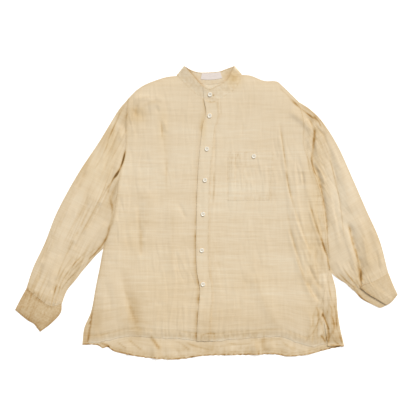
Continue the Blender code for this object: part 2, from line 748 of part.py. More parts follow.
def cuff_left():
    """Left cuff: an open band whose upper end laps over the end below it."""
    plan = cuff_plan(CUFF_L_SEAM, CUFF_L_END, CUFF_L_SIDE_LINE, CUFF_L_OUTER_LINE)
    rows = CUFF + 1
    lap = np.linspace(CUFF_LAP_SEAM, CUFF_LAP_END, rows)
    beneath = lap + CUFF_LAP_UNDER

    def pick(row, shares):
        index = shares * HIGH
        x = np.interp(index, np.arange(HIGH + 1), plan[row, :, 0])
        y = np.interp(index, np.arange(HIGH + 1), plan[row, :, 1])
        return np.stack([x, y], axis=-1)

    outer_rows = []
    inner_rows = []
    for row in range(rows):
        width = np.linalg.norm(plan[row, -1] - plan[row, 0])
        soft = EDGE_ROUND / width
        wall = EDGE_WALL / width
        top = np.linspace(lap[row], 1.0, 13)
        low = np.linspace(1.0, 0.0, 13)
        under_lap = np.linspace(0.0, beneath[row], 6)

        def put(shares, height, edge):
            shares = np.clip(shares, edge, 1.0 - edge)
            return lifted(pick(row, shares), height)

        top_plan = pick(row, top)
        rise = under(top_plan[None])[0]
        rise += (STEP + 1.3) * (1.0 - smoothstep((top - beneath[row] - 0.03) / 0.14))
        lap_height = np.full(6, STEP)
        bend = np.array([0.75, 0.3])
        high_wall = rise[-1]
        outer_rows.append(
            np.vstack(
                [
                    put(top, rise + CLOTH, soft),
                    lifted(pick(row, np.ones(2)), bend * (high_wall + CLOTH)),
                    put(low, np.zeros(13), soft),
                    lifted(pick(row, np.zeros(2)), bend[::-1] * (STEP + CLOTH)),
                    put(under_lap, lap_height + CLOTH, soft),
                ]
            )
        )
        inner_rows.append(
            np.vstack(
                [
                    put(top, rise, wall),
                    put(np.ones(2), CLOTH + bend * (high_wall - CLOTH), wall),
                    put(low, np.full(13, CLOTH), wall),
                    put(np.zeros(2), CLOTH + bend[::-1] * GAP, wall),
                    put(under_lap, lap_height, wall),
                ]
            )
        )
    shell("cuff_left", np.stack(outer_rows), np.stack(inner_rows), CUFF_COLOR)


def collar(right_grid, right_height, left_grid, left_height, back_grid):
    """The band: right end, right side, back, left side, and the left end lapped over."""
    neck_r = slice(ACROSS - NECK_COLUMNS, ACROSS + 3)
    base_r = right_grid[-1, neck_r][::-1]
    rise_r = right_height[-1, neck_r][::-1]
    base_l = left_grid[-1, : NECK_COLUMNS + 3][::-1]
    rise_l = left_height[-1, : NECK_COLUMNS + 3][::-1]
    base_b = back_grid[-1, SHOULDER : 2 * SHOULDER + 1]
    lap = Line(EDGE_LAP).run(0.0, 1.0, 2)
    free_r = Line(EDGE_RIGHT).run(0.0, 0.95, NECK_COLUMNS)
    free_l = Line(EDGE_LEFT).run(0.0, 0.95, NECK_COLUMNS)
    back_edge = Line(EDGE_BACK)
    span = (base_b[:, 0] - base_b[0, 0]) / (base_b[-1, 0] - base_b[0, 0])
    free_b = back_edge.at(0.02 + 0.96 * span)
    first, last = LABEL_COLUMNS
    for column in range(first, last + 1):
        free_b[column] = on_line(back_edge, base_b[column, 0])
    peak_r = np.array([EDGE_BACK[0]], dtype=float)
    peak_l = np.array([EDGE_BACK[-1]], dtype=float)
    base = np.vstack(
        [base_r, base_b[:1] + (-1.2, 0.5), base_b, base_b[-1:] + (1.2, 0.5), base_l]
    )
    free = np.vstack([lap[::-1], free_r[1:], peak_r, free_b, peak_l, free_l[::-1], lap[:2][::-1]])
    half = 0.5 * CLOTH
    low = np.full(len(base_b), half)
    base_z = np.concatenate(
        [
            rise_r + half,
            [0.5 * (rise_r[-1] + 2 * half)],
            low,
            [0.5 * (rise_l[0] + 2 * half)],
            rise_l + half,
        ]
    )
    count_r = len(base_r)
    count_l = len(base_l)
    stand_r = COLLAR_RISE + half - 1.6 * smoothstep((2.5 - np.arange(count_r)) / 2.5)
    stand_l = COLLAR_RISE + half + 0.8 * smoothstep((np.arange(count_l) - count_l + 4.0) / 3.0)
    middle = 0.5 * COLLAR_RISE + half
    free_z = np.concatenate([stand_r, [middle], low, [middle], stand_l])
    way = free - base
    way /= np.linalg.norm(way, axis=1)[:, None]
    away = np.full(len(base), COLLAR_GAP)
    for corner in (count_r, count_r + len(base_b) + 1):
        away[corner - 1 : corner + 2] = 1.2
    base = base + away[:, None] * way
    rows = np.array(COLLAR_ROWS)[:, None]
    plan = (1 - rows[..., None]) * base[None] + rows[..., None] * free[None]
    climb = smoothstep((rows - 0.1) / 0.9)
    height = (1 - climb) * base_z[None] + climb * free_z[None]
    middle = lifted(plan, height)
    along = np.gradient(middle, axis=1)
    up = np.gradient(middle, axis=0)
    normal = np.cross(along, up)
    normal /= np.linalg.norm(normal, axis=-1)[..., None]
    outer = middle + half * normal
    inner = middle - half * normal
    shell("collar", outer, inner, CLOTH_COLOR)
    back_columns = slice(count_r + 1 + first, count_r + 2 + last)
    face = np.maximum(outer[2:5, back_columns], inner[2:5, back_columns])
    bottom = face + (0.0, 0.0, GAP)
    shell("neck_label", bottom + (0.0, 0.0, LABEL), bottom, LABEL_COLOR)
    return outer if outer[2, 2, 2] > inner[2, 2, 2] else inner


def button(name, x, y, surface):
    """A dished disc with a rim and four holes, just clear of the cloth below it."""
    points = surface.reshape(-1, 3)
    near = np.hypot(points[:, 0] - x, points[:, 1] - y) < 20.0
    bottom = float(points[near, 2].max()) + GAP
    profile = (
        (0.0, 0.0),
        (4.6, 0.0),
        (BUTTON_RADIUS, 0.9),
        (BUTTON_RADIUS, 1.6),
        (5.0, BUTTON_HEIGHT),
        (4.1, BUTTON_HEIGHT),
        (3.3, 1.7),
        (0.0, 1.7),
    )
    mesh = bmesh.new()
    verts = [mesh.verts.new((r * MM, 0.0, (bottom + z) * MM)) for r, z in profile]
    edges = [mesh.edges.new(pair) for pair in zip(verts, verts[1:])]
    bmesh.ops.spin(
        mesh,
        geom=verts + edges,
        cent=(0.0, 0.0, 0.0),
        axis=(0.0, 0.0, 1.0),
        angle=2 * math.pi,
        steps=16,
    )
    bmesh.ops.remove_doubles(mesh, verts=mesh.verts, dist=1e-6)
    bmesh.ops.recalc_face_normals(mesh, faces=mesh.faces)
    made = finish(name, mesh, BUTTON_COLOR, 0.35)
    cutter = bmesh.new()
    for turn in range(4):
        angle = math.radians(45 + 90 * turn)
        found = bmesh.ops.create_cone(
            cutter,
            cap_ends=True,
            segments=6,
            radius1=BUTTON_HOLE * MM,
            radius2=BUTTON_HOLE * MM,
            depth=8 * MM,
        )
        shift = (
            BUTTON_HOLE_AT * math.cos(angle) * MM,
            BUTTON_HOLE_AT * math.sin(angle) * MM,
            bottom * MM,
        )
        bmesh.ops.translate(cutter, verts=found["verts"], vec=shift)
    holes = finish(name + "_holes", cutter, BUTTON_COLOR, 0.35)
    cut = made.modifiers.new("holes", "BOOLEAN")
    cut.operation = "DIFFERENCE"
    cut.solver = "EXACT"
    cut.object = holes
    shape = bpy.data.meshes.new_from_object(made.evaluated_get(bpy.context.evaluated_depsgraph_get()))
    made.modifiers.clear()
    made.data = shape
    bpy.data.objects.remove(holes)
    for vert in shape.vertices:
        vert.co.x += x * MM
        vert.co.y += y * MM


for old in list(bpy.data.objects):
    bpy.data.objects.remove(old)
PARTS = bpy.data.collections.new(NAME)
bpy.context.scene.collection.children.link(PARTS)

back_grid = back()
right_grid, right_height = front_right()
shell(
    "front_right",
    lifted(right_grid, right_height + CLOTH),
    lifted(right_grid, right_height),
    CLOTH_COLOR,
)
left_grid, left_height = front_left()
left_top = lifted(left_grid, left_height + CLOTH)
shell("front_left", left_top, lifted(left_grid, left_height), CLOTH_COLOR)

placket_top = left_top[:, :3] + (0.0, 0.0, STEP)
shell("placket", placket_top, left_top[:, :3] + (0.0, 0.0, GAP), CLOTH_COLOR)

pocket_part = left_top[
    LOW + POCKET_ROWS[0] : LOW + POCKET_ROWS[1] + 1,
    2 + POCKET_COLUMNS[0] : 3 + POCKET_COLUMNS[1],
]
pocket_top = pocket_part + (0.0, 0.0, STEP)
shell("pocket", pocket_top, pocket_part + (0.0, 0.0, GAP), CLOTH_COLOR)

sleeve(
    "sleeve_right",
    BACK_R_RUN[LOW:],
    SLEEVE_R_OUT,
    SLEEVE_R_IN,
    CUFF_R_SEAM,
    -GAP,
    GATHERS_R,
)
armhole_l = FRONT_L_RUN[LOW:].copy()
armhole_l[0] = (SLEEVE_L[0].in_x, SLEEVE_L[0].in_y)
sleeve(
    "sleeve_left",
    armhole_l,
    SLEEVE_L_OUT,
    SLEEVE_L_IN,
    CUFF_L_SEAM,
    GAP,
    GATHERS_L,
)
cuff_right()
cuff_left()
collar_top = collar(right_grid, right_height, left_grid, left_height, back_grid)

SURFACES = {"collar": collar_top, "placket": placket_top, "pocket": pocket_top}
for spec in BUTTONS:
    button(spec.name, spec.x, spec.y, SURFACES[spec.on])
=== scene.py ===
"""A band-collar shirt in undyed linen gauze, laid flat with its front up."""

import math
from collections import namedtuple

import bmesh
import bpy
import numpy as np
from mathutils import Matrix, Vector, noise


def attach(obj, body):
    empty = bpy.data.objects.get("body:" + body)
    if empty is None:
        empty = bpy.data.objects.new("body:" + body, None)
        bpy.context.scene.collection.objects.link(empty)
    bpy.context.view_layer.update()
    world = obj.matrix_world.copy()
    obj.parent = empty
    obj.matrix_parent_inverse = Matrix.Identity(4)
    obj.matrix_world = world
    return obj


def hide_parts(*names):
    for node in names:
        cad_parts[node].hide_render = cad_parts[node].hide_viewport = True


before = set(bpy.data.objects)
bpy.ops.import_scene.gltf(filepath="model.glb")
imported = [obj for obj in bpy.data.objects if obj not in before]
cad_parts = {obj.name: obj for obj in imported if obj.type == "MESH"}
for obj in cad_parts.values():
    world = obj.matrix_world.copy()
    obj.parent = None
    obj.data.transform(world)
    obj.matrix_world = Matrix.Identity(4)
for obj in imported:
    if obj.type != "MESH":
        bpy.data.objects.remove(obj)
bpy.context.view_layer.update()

MM = 0.001

# Driving sizes, in millimetres.
CLOTH = 0.5
STEP = 1.0
SEWN_ON = 0.08
GAP = 0.1
LABEL = 0.6
POCKET_CLOTH = 0.25
PLACKET_WIDTH = 34.0
PLACKET_STITCHES = (1.8, 31.0)
POCKET_WIDE = 116.0
POCKET_TALL = 127.0
POCKET_HEM = 18.0
CUFF_DEEP = 62.0
BAND_HIGH = 33.0
VENT_OPENING = 2.4
VENT_TOP = -261.0
VENT_LENGTH = 79.0
PUFF = 3.6
PUFF_REACH = 15.0
RELIEF_REACH = 9.0
SEAM_REACH = 12.0
COLLAR_RISE = 7.0
COLLAR_GAP = 0.02
EDGE_WALL = 1.3
EDGE_BULGE = 0.8
HEM_WIDTH = 20.0
TAIL_HEM = 9.0
TAIL_ABOVE = 4.0
ON_TAIL = 0.56
SIDE_LIFT = 1.3
BUTTON_RADIUS = 5.8
BUTTON_HOLE = 0.85
BUTTON_HOLE_AT = 1.45
BUTTON_HOLE_DEEP = 0.9
BUTTONHOLE_HALF = 7.0
STITCH = 3.0
STITCH_LONG = 2.1
CUFF_GAP = 0.04

# How high the wall of a folded edge bulges, as shares of its height.
WALL_BEND = (0.3, 0.75)
# The least angle between two faces whose edge stays sharp.
SHARP_EDGE = 0.9
# How wide the floor and the camera's view are, in metres, and the camera's lens and sensor.
FLOOR_SIZE = 30.0
VIEW_WIDTH = 1.0816
CAMERA_LENS = 85.0
CAMERA_SENSOR = 36.0

# Cells of the cloth grids; FINE is how many the looks have for each one of the solid's.
FINE = 6
LOW = 11 * FINE
HIGH = 18 * FINE
ACROSS = 21 * FINE
STRIP = 2 * FINE
TAIL = 4 * FINE
SLEEVE = 20 * FINE
CUFF = 4 * FINE
WRAP = 3 * FINE
SHOULDER = 8 * FINE
NECK_COLUMNS = 9 * FINE

Level = namedtuple("Level", "y front_r back_r edge front_l back_l")
Ends = namedtuple("Ends", "out_x out_y in_x in_y")
Band = namedtuple("Band", "seam_x seam_y end_x end_y")
Fold = namedtuple("Fold", "x0 y0 x1 y1 x2 y2 width height lean", defaults=(0.0,))
Ripple = namedtuple("Ripple", "x width height")
Gather = namedtuple("Gather", "at height length")
Wrinkle = namedtuple("Wrinkle", "across along height crisp")
Button = namedtuple("Button", "name x y on")
Patch = namedtuple("Patch", "x y across along depth")
Cut = namedtuple("Cut", "width length area")
Threads = namedtuple("Threads", "across along detail shift depth relief")


def rows(kind, *table):
    """A table's rows with their columns named, as the kind lists them."""
    return [kind(*row) for row in table]


# The body from the hem up: both sides of the front and back, and the front's free edge.
BODY = rows(
    Level, (-341, -308, -323, -25, 313.5, 357.5), (-300, -302.5, -317.5, -24, 307, 347.5),
    (-256, -297, -299.5, -21, 301, 341), (-200, -288.5, -288.5, -17, 307, 336.5),
    (-150, -278.5, -278.5, -25, 318.5, 324), (-84, -265, -259, -27, 313, 313),
    (-25, -244, -237, -26, 308, 308), (32, -233, -222, -25, 302, 302),
    (82, -227.5, -216, -23, 287, 287), (131, -216.5, -209, -20, 268, 268),
    (176, -209, -205, -15.5, 254, 254), (226, -208.8, -207.6, -9.5, 254, 254),
    (257, -207, -206.5, -1, 249, 249), (290, -202.5, -202.5, -6.5, 235, 235),
)
ARMPIT_R = -84
ARMPIT_L = -150
ARMPIT_EDGE = -117
TAIL_FROM = (-322.5, -340)
TAIL_TO = (357, -341)

# Outlines, as x and y.
FRONT_HEM = (
    (-308, -338), (-282, -338), (-251, -331), (-220, -324), (-190, -321), (-142, -325),
    (-61, -329), (-25, -333), (25, -334), (74, -329), (144, -324), (194, -323), (238, -338),
    (274, -348), (313.5, -340),
)
BACK_HEM = (
    (-323, -344), (-300, -343.5), (-283, -345), (-270, -352.5), (-257, -349.5), (-240, -361),
    (-210, -368), (-168, -376), (-99, -382), (-56, -380), (-19, -373.5), (35, -371), (124, -370),
    (170, -368), (216, -374), (265, -369), (303, -359), (330, -352), (357.5, -348),
)
SHOULDER_R = ((-205, 294), (-180.5, 318.5), (-154.5, 334.5), (-109, 350.5), (-77, 355))
SHOULDER_L = ((91, 358), (116, 355), (150, 342), (180, 341), (197, 329), (238, 289))
NECK_FRONT = (
    (-77, 355), (-57, 333), (-36, 313), (-10, 295.5), (5, 287), (18, 285), (32, 291), (52, 303),
    (72, 318), (86, 335), (91, 358),
)
NECK_BACK = ((-77, 355), (-45, 341), (8, 331), (60, 341), (91, 358))
BACK_NECK_X = (-77, -52, -31, -14, 4, 22, 40, 65, 91)
LABEL_COLUMNS = (3 * FINE - 1, 6 * FINE + 1)

# The collar's free edge: the lapped ends, then either side up to its peak, and the back.
EDGE_LAP = ((-9, 326.5), (8, 321), (26, 328))
EDGE_RIGHT = ((-9, 326.5), (-19.5, 336.7), (-35.6, 355), (-57.5, 380.6))
EDGE_LEFT = ((26, 328), (38, 333.5), (52, 344.5), (63, 362), (72, 380.5))
EDGE_BACK = (
    (-57.5, 380.6), (-43, 372), (-25, 365.5), (-4, 364), (32, 366.6), (48, 372), (72, 380.5),
)
COLLAR_ROWS = (0.0, 0.14, 0.42, 0.68, 0.94, 1.0)
COLLAR_FINE = 4

# Sleeves from armhole to cuff, outer fold and inner fold.
SLEEVE_R = rows(
    Ends, (-205, 294, -259, -84), (-231, 262, -271, -96), (-277.5, 186, -288, -112),
    (-335, 99, -305.5, -132), (-387.5, 3, -324, -154), (-420.5, -80, -341.5, -177),
    (-449.5, -141, -362.5, -203), (-468, -196, -375.5, -236),
)
SLEEVE_L = rows(
    Ends, (238, 289, 323.5, -146), (270, 268, 328, -155), (303, 234, 334, -163),
    (342, 172, 343, -171), (381, 86, 353, -178), (415, 8, 364, -185.5), (450, -71, 375, -197),
    (473, -157, 386.5, -207),
)
# Cuffs from inner fold to outer fold, seam and free end.
CUFF_R = rows(
    Band, (-375.5, -236, -432, -310.5), (-394, -242, -441, -299), (-410, -241, -449, -289),
    (-438, -221, -467.5, -278), (-468, -196, -498, -252.5),
)
CUFF_L = rows(
    Band, (386.5, -207, 441, -243.5), (399, -195, 452, -247.5), (412, -187, 469, -240),
    (438, -177, 483, -230), (473, -157, 497, -213),
)
CUFF_R_SIDE = ((-375.5, -236), (-378.5, -261), (-402.5, -288), (-432, -310.5))
CUFF_L_SIDE = ((386.5, -207), (402, -223.5), (422, -234.5), (441, -243.5))
CUFF_R_OUTER = ((-468, -196), (-483.5, -224), (-498, -252.5))
CUFF_L_OUTER = ((473, -157), (485, -187), (497, -213))
CUFF_LAP_SEAM = 0.17
CUFF_LAP_END = 0.42
CUFF_LAP_UNDER = 0.22

# The pocket's corners, and the panel's cells that it covers.
POCKET = ((53, 31), (165, 32), (176, 157), (56, 157))
POCKET_COLUMNS = (3 * FINE, 12 * FINE)
POCKET_ROWS = (LOW + 6 * FINE, LOW + 12 * FINE)

BUTTONS = rows(
    Button, ("button_collar", 9, 306, "collar"), ("button_1", 8, 251, "placket"),
    ("button_2", 1, 165, "placket"), ("button_3", -4, 84, "placket"),
    ("button_4", -9, -4, "placket"), ("button_5", -12, -98, "placket"),
    ("button_6", -9, -186, "placket"), ("button_pocket", 123, 146, "pocket"),
)
# A button's section, from the middle of its back round the rim to its dish, in radius and height.
BUTTON_PROFILE = (
    (0, 0), (4.4, 0), (5.3, 0.35), (5.75, 0.85), (5.75, 1.3), (5.45, 1.8), (4.95, 2.05), (4.4, 2),
    (3.9, 1.65), (3.4, 1.3), (3, 1.2),
)

# Threads of the gauze: their spacing each way, and how deep and high they show. Real ones are
# 0.4 mm apart. These are 3 to 7 mm apart, as coarse as they need to show.
THREADS = rows(
    Threads, (46, 3, 2, 0, 0.168, 0.6), (110, 7, 1, 3.1, 0.12, 0.4), (3.4, 70, 2, 7.7, 0.08, 0.35),
    (700, 30, 2, 11.3, 0.13, 0), (110, 90, 3, 5.9, 0.14, 0),
)
# The gauze's colours from its palest to its deepest tone, painted shade included.
LINEN_SHADES = (
    (0.0, "#f6e9cf"), (1.0, "#7f5f33"), (0.2, "#ecd8b8"), (0.45, "#d8be95"), (0.7, "#b99159"),
)
YELLOWEST = "#fdf3db"

# Raised and sunken folds of the upper layer: three spots, width, height and lean, which moves
# the steep side over.
FOLDS = rows(
    Fold, (196, 238, 212, 45, 262, -190, 10, 1.7, 0.4),
    (206, -9, 236, -125, 284, -250, 11, 1.7, 0.4), (228, 160, 238, 20, 272, -130, 8, 1.6, -0.3),
    (247, 170, 262, 50, 304, -105, 9, 1.7, 0.4), (278, 30, 295, -75, 310, -165, 8, 1.4, -0.4),
    (256, -70, 282, -160, 300, -245, 8, 1.6, 0.3), (262, 150, 300, 55, 312, -80, 7, -1.6),
    (298, 238, 292, 140, 314, 20, 9, 1.2, 0.3), (236, 283, 262, 268, 294, 242, 6, -1.2),
    (212, 262, 246, 240, 280, 200, 11, 2.8, 0.3), (322, -190, 322, -260, 330, -330, 9, 2.2),
    (120, -150, 150, -230, 190, -310, 18, 2, 0.2), (-182, 258, -150, 282, -106, 292, 16, 2.2),
    (-116, 232, -108, 165, -105, 95, 11, -1.1, 0.3), (-176, -16, -170, -66, -168, -118, 14, -0.9),
    (-92, 40, -86, -60, -98, -170, 20, 1.8), (-225, -140, -200, -235, -166, -308, 14, -1.2, 0.3),
    (-250, -130, -228, -240, -202, -312, 18, 1.2, 0.2), (-222, 150, -232, 40, -250, -60, 15, 2.6),
    (-150, 60, -160, -30, -196, -150, 18, 1.8, 0.2),
    (-225, 262, -256, 190, -292, 118, 8, -1.2, 0.2),
    (-216, 224, -242, 150, -268, 70, 12, 2.4, 0.3),
    (-272, 60, -320, -20, -374, -122, 14, 2.6, 0.3),
    (-258, -20, -300, -78, -362, -168, 10, 3, 0.4), (-342, 56, -392, -60, -432, -168, 16, 2, -0.3),
    (-300, 118, -348, 36, -392, -66, 10, -1.4), (-322, -112, -355, -165, -384, -222, 7, 1.6, 0.3),
    (318, 165, 330, 100, 342, 40, 8, -1.6), (343, 150, 362, 60, 380, -10, 14, 2.2, 0.3),
    (300, 90, 330, -20, 352, -112, 11, 1.6, 0.3), (346, -20, 370, -90, 392, -160, 9, 1.9, 0.4),
    (362, -18, 387, -90, 398, -188, 8, -2.6), (387, 0, 414, -80, 425, -158, 14, 2.8, -0.3),
    (430, -20, 448, -90, 455, -148, 12, 2.4),
)
# Narrower creases that only the looks have.
CREASES = rows(
    Fold, (190, 240, 200, 163, 208, 102, 5, -1.6, 0.3), (208, 102, 214, 65, 222, 34, 4, -2, 0.3),
    (210, -26, 236, -108, 256, -169, 5, -2, 0.3), (256, -169, 276, -205, 299, -236, 6, -2.2, 0.3),
    (222, 22, 240, -45, 262, -92, 4, 1.5), (232, 8, 250, -50, 274, -112, 3.5, -1.4),
    (248, 108, 251, 88, 254, 70, 4, -1.5), (236, 128, 243, 100, 246, 74, 4, 1.3),
    (262, 48, 277, -16, 297, -77, 4, -1.8, 0.3), (297, -77, 309, -104, 320, -130, 4, -2.2, 0.3),
    (279, 229, 277, 178, 277, 127, 4.5, -1.8, 0.2), (277, 127, 293, 88, 302, 46, 4, -1.5, 0.2),
    (302, 46, 309, 0, 315, -56, 4, -1.8), (266, 216, 268, 190, 262, 160, 4.5, 1.8),
    (286, 210, 284, 176, 288, 146, 4.5, 1.8), (284, 118, 300, 98, 306, 70, 3.5, 1.6),
    (268, 12, 274, -20, 284, -50, 3.5, 1.4), (286, 10, 292, -26, 302, -62, 3.5, -1.2),
    (240, -60, 262, -122, 280, -160, 4, 1.4), (262, -126, 280, -170, 300, -200, 4, -1.6),
    (300, -150, 306, -200, 304, -240, 4.5, 1.6), (284, -240, 304, -262, 312, -296, 4, -1.2),
    (292, -262, 296, -300, 280, -340, 5, 1.5), (262, -252, 270, -296, 262, -338, 5, 1.2),
    (256, 250, 268, 240, 277, 224, 4.5, -2), (297, 214, 318, 170, 328, 127, 5, -1),
    (328, 127, 336, 96, 340, 60, 4, -0.9), (340, 60, 346, 30, 347, -6, 4, -1.2),
    (312, 200, 334, 150, 348, 110, 6, 0.8), (318, 60, 328, 10, 336, -44, 5, 0.9),
    (326, 40, 340, -24, 352, -84, 4, -0.8), (371, -30, 379, -72, 394, -113, 5, -2, 0.3),
    (394, -113, 402, -142, 400, -178, 5.5, -2.4, 0.3), (404, -60, 412, -100, 420, -140, 5, 1.4),
    (440, -96, 446, -126, 450, -156, 4, -1.2), (352, -130, 366, -160, 384, -186, 4, 0.9),
    (366, -120, 380, -152, 392, -178, 3.5, -0.8), (336, -122, 350, -150, 368, -176, 4, 0.8),
    (-217, 236, -211, 222, -209, 204, 5, -1.1), (-228, 226, -224, 206, -222, 184, 5, 1.6),
    (-300, 26, -322, -26, -342, -72, 5, -1.8), (-342, -72, -354, -94, -364, -112, 4.5, -1.4),
    (-276, 26, -288, -2, -314, -46, 5, -2), (-314, -46, -330, -74, -344, -96, 4.5, -1.6),
    (-310, 108, -328, 88, -344, 68, 6, -1.4), (-396, -46, -414, -94, -426, -132, 6, -1.8),
    (-426, -132, -432, -158, -436, -182, 5, -1.6), (-388, -186, -362, -142, -316, -112, 3, -0.8),
    (-383, -202, -350, -162, -306, -122, 3, 1.4), (-401, -212, -396, -188, -386, -166, 4, -1.8),
    (-376, -214, -352, -182, -330, -160, 3, -0.5), (-408, -196, -398, -150, -376, -104, 5, 1.6),
    (-350, 20, -372, -40, -394, -100, 6, 1.3), (-118, 242, -116, 222, -114, 202, 4, -0.9),
    (-110, 240, -106, 222, -104, 206, 4, 1.2), (-103, 140, -102, 118, -104, 98, 5, -0.7),
    (-181, 32, -177, 2, -175, -28, 6, -0.7), (-175, -28, -166, -58, -164, -72, 6, -0.7),
    (-164, -72, -166, -92, -171, -112, 6.5, -0.7), (-186, 20, -184, -20, -180, -54, 5, 0.6),
    (-72, 26, -62, 2, -50, -18, 5, -1), (-77, -102, -76, -128, -74, -154, 5, -1.1),
    (-205, -204, -198, -250, -188, -282, 9, -1.1, 0.2),
    (-188, -282, -178, -302, -163, -314, 8, -0.8, 0.2), (-179, 282, -183, 266, -184, 248, 5, -1.5),
    (-138, 291, -126, 288, -117, 279, 5, -1.1), (-131, 276, -128, 268, -122, 259, 5, -1),
    (-190, 292, -168, 296, -146, 300, 8, 1.6), (-262, -180, -250, -220, -246, -262, 7, -0.6),
    (-274, -200, -270, -250, -276, -300, 6, 0.5), (54, 150, 56, 90, 55, 26, 3, -0.5),
    (66, 152, 66, 100, 64, 40, 3, 0.9), (78, 150, 77, 100, 78, 34, 3, -0.8),
    (90, 150, 90, 110, 91, 60, 3, 0.7), (128, 120, 128, 80, 130, 34, 3, -0.8),
    (150, 132, 153, 90, 150, 40, 3.5, 0.9), (20, 238, 22, 140, 16, 30, 4, -1.1),
    (188, 200, 190, 170, 186, 140, 4, 0.9), (94, 236, 94, 214, 92, 200, 4, -0.9),
)
# Wrinkles left by washing: spacing across and along the grain, height, and how crisp.
WRINKLES = rows(
    Wrinkle, (30, 120, 0.7, False), (21, 110, 0.55, True), (15, 70, -0.5, True),
    (9, 34, 0.28, False), (70, 6, 0.24, False), (5, 5, 0.14, False),
)
SLEEVE_R_TURN = math.radians(-25)
SLEEVE_L_TURN = math.radians(29)

# Soft patches that make the cloth deeper or paler in places. Those where the back shows beside the
# front's sides low down, in a deep fold low on the right front and in the collar's fold are
# painted shade.
TONE_AND_SHADE_PATCHES = rows(
    Patch, (-188, -262, 24, 60, 0.12), (-262, -290, 34, 50, 0.05), (-150, -40, 90, 46, 0.03),
    (-140, 110, 90, 40, -0.03), (150, -300, 120, 34, 0.03), (300, -120, 16, 90, 0.05),
    (327, -252, 18, 40, 0.07), (-225, -357, 22, 10, 0.12), (146, -346, 15, 14, 0.1),
    (360, 58, 34, 70, -0.06), (322, -328, 12, 16, 0.05), (70, 352, 15, 12, 0.2),
    (424, -84, 24, 60, 0.07), (338, -327, 14, 13, 0.15), (130, -190, 110, 60, 0.025),
    (280, 150, 16, 80, 0.05), (262, 262, 34, 24, 0.1), (-216, 250, 24, 50, 0.1),
    (-182, 262, 24, 20, 0.06), (-420, -190, 50, 60, 0.03), (410, -160, 40, 50, 0.05),
    (-240, 70, 12, 70, 0.03), (-258, -30, 14, 50, 0.04), (-240, 236, 15, 26, -0.2),
    (-252, 160, 14, 36, -0.09), (-276, 32, 10, 30, -0.05), (382, -70, 15, 40, -0.06),
    (302, -267, 2.8, 5, 0.5), (312, -326, 3, 7, 0.25), (-286, -288, 16, 40, 0.13),
    (205, -357, 40, 10, 0.04), (-418, -224, 18, 9, 0.1), (-386, -246, 16, 14, -0.06),
    (-290, 160, 20, 50, -0.12), (-262, 150, 26, 50, -0.05), (-350, 40, 40, 70, -0.06),
    (-400, -60, 30, 60, -0.04), (-90, -220, 110, 100, 0.018), (-20, 140, 50, 60, -0.045),
    (284, -90, 26, 130, 0.03), (0, -312, 30, 54, 0.1),
)
# Where the undyed cloth turns yellower, and how much of the way to its yellowest. This is partly
# its own yellowing, and partly the warm tint of painted shade in creases, in the collar's fold and
# under lapped edges.
YELLOWING_AND_SHADE_TINT = rows(
    Patch, (-246, 186, 26, 66, 0.45), (-310, 110, 30, 60, 0.35), (-178, 252, 20, 22, 0.5),
    (-112, 225, 14, 50, 0.35), (-262, 96, 24, 46, 0.3), (-90, -200, 120, 110, 0.2),
    (-196, -60, 40, 60, 0.2), (272, -100, 30, 160, 0.3), (130, -190, 90, 90, 0.16),
    (68, 348, 24, 20, 0.75), (-8, 220, 8, 36, 0.5), (-370, -150, 40, 40, 0.2),
    (290, 60, 22, 130, 0.2), (425, -120, 40, 50, 0.2),
)
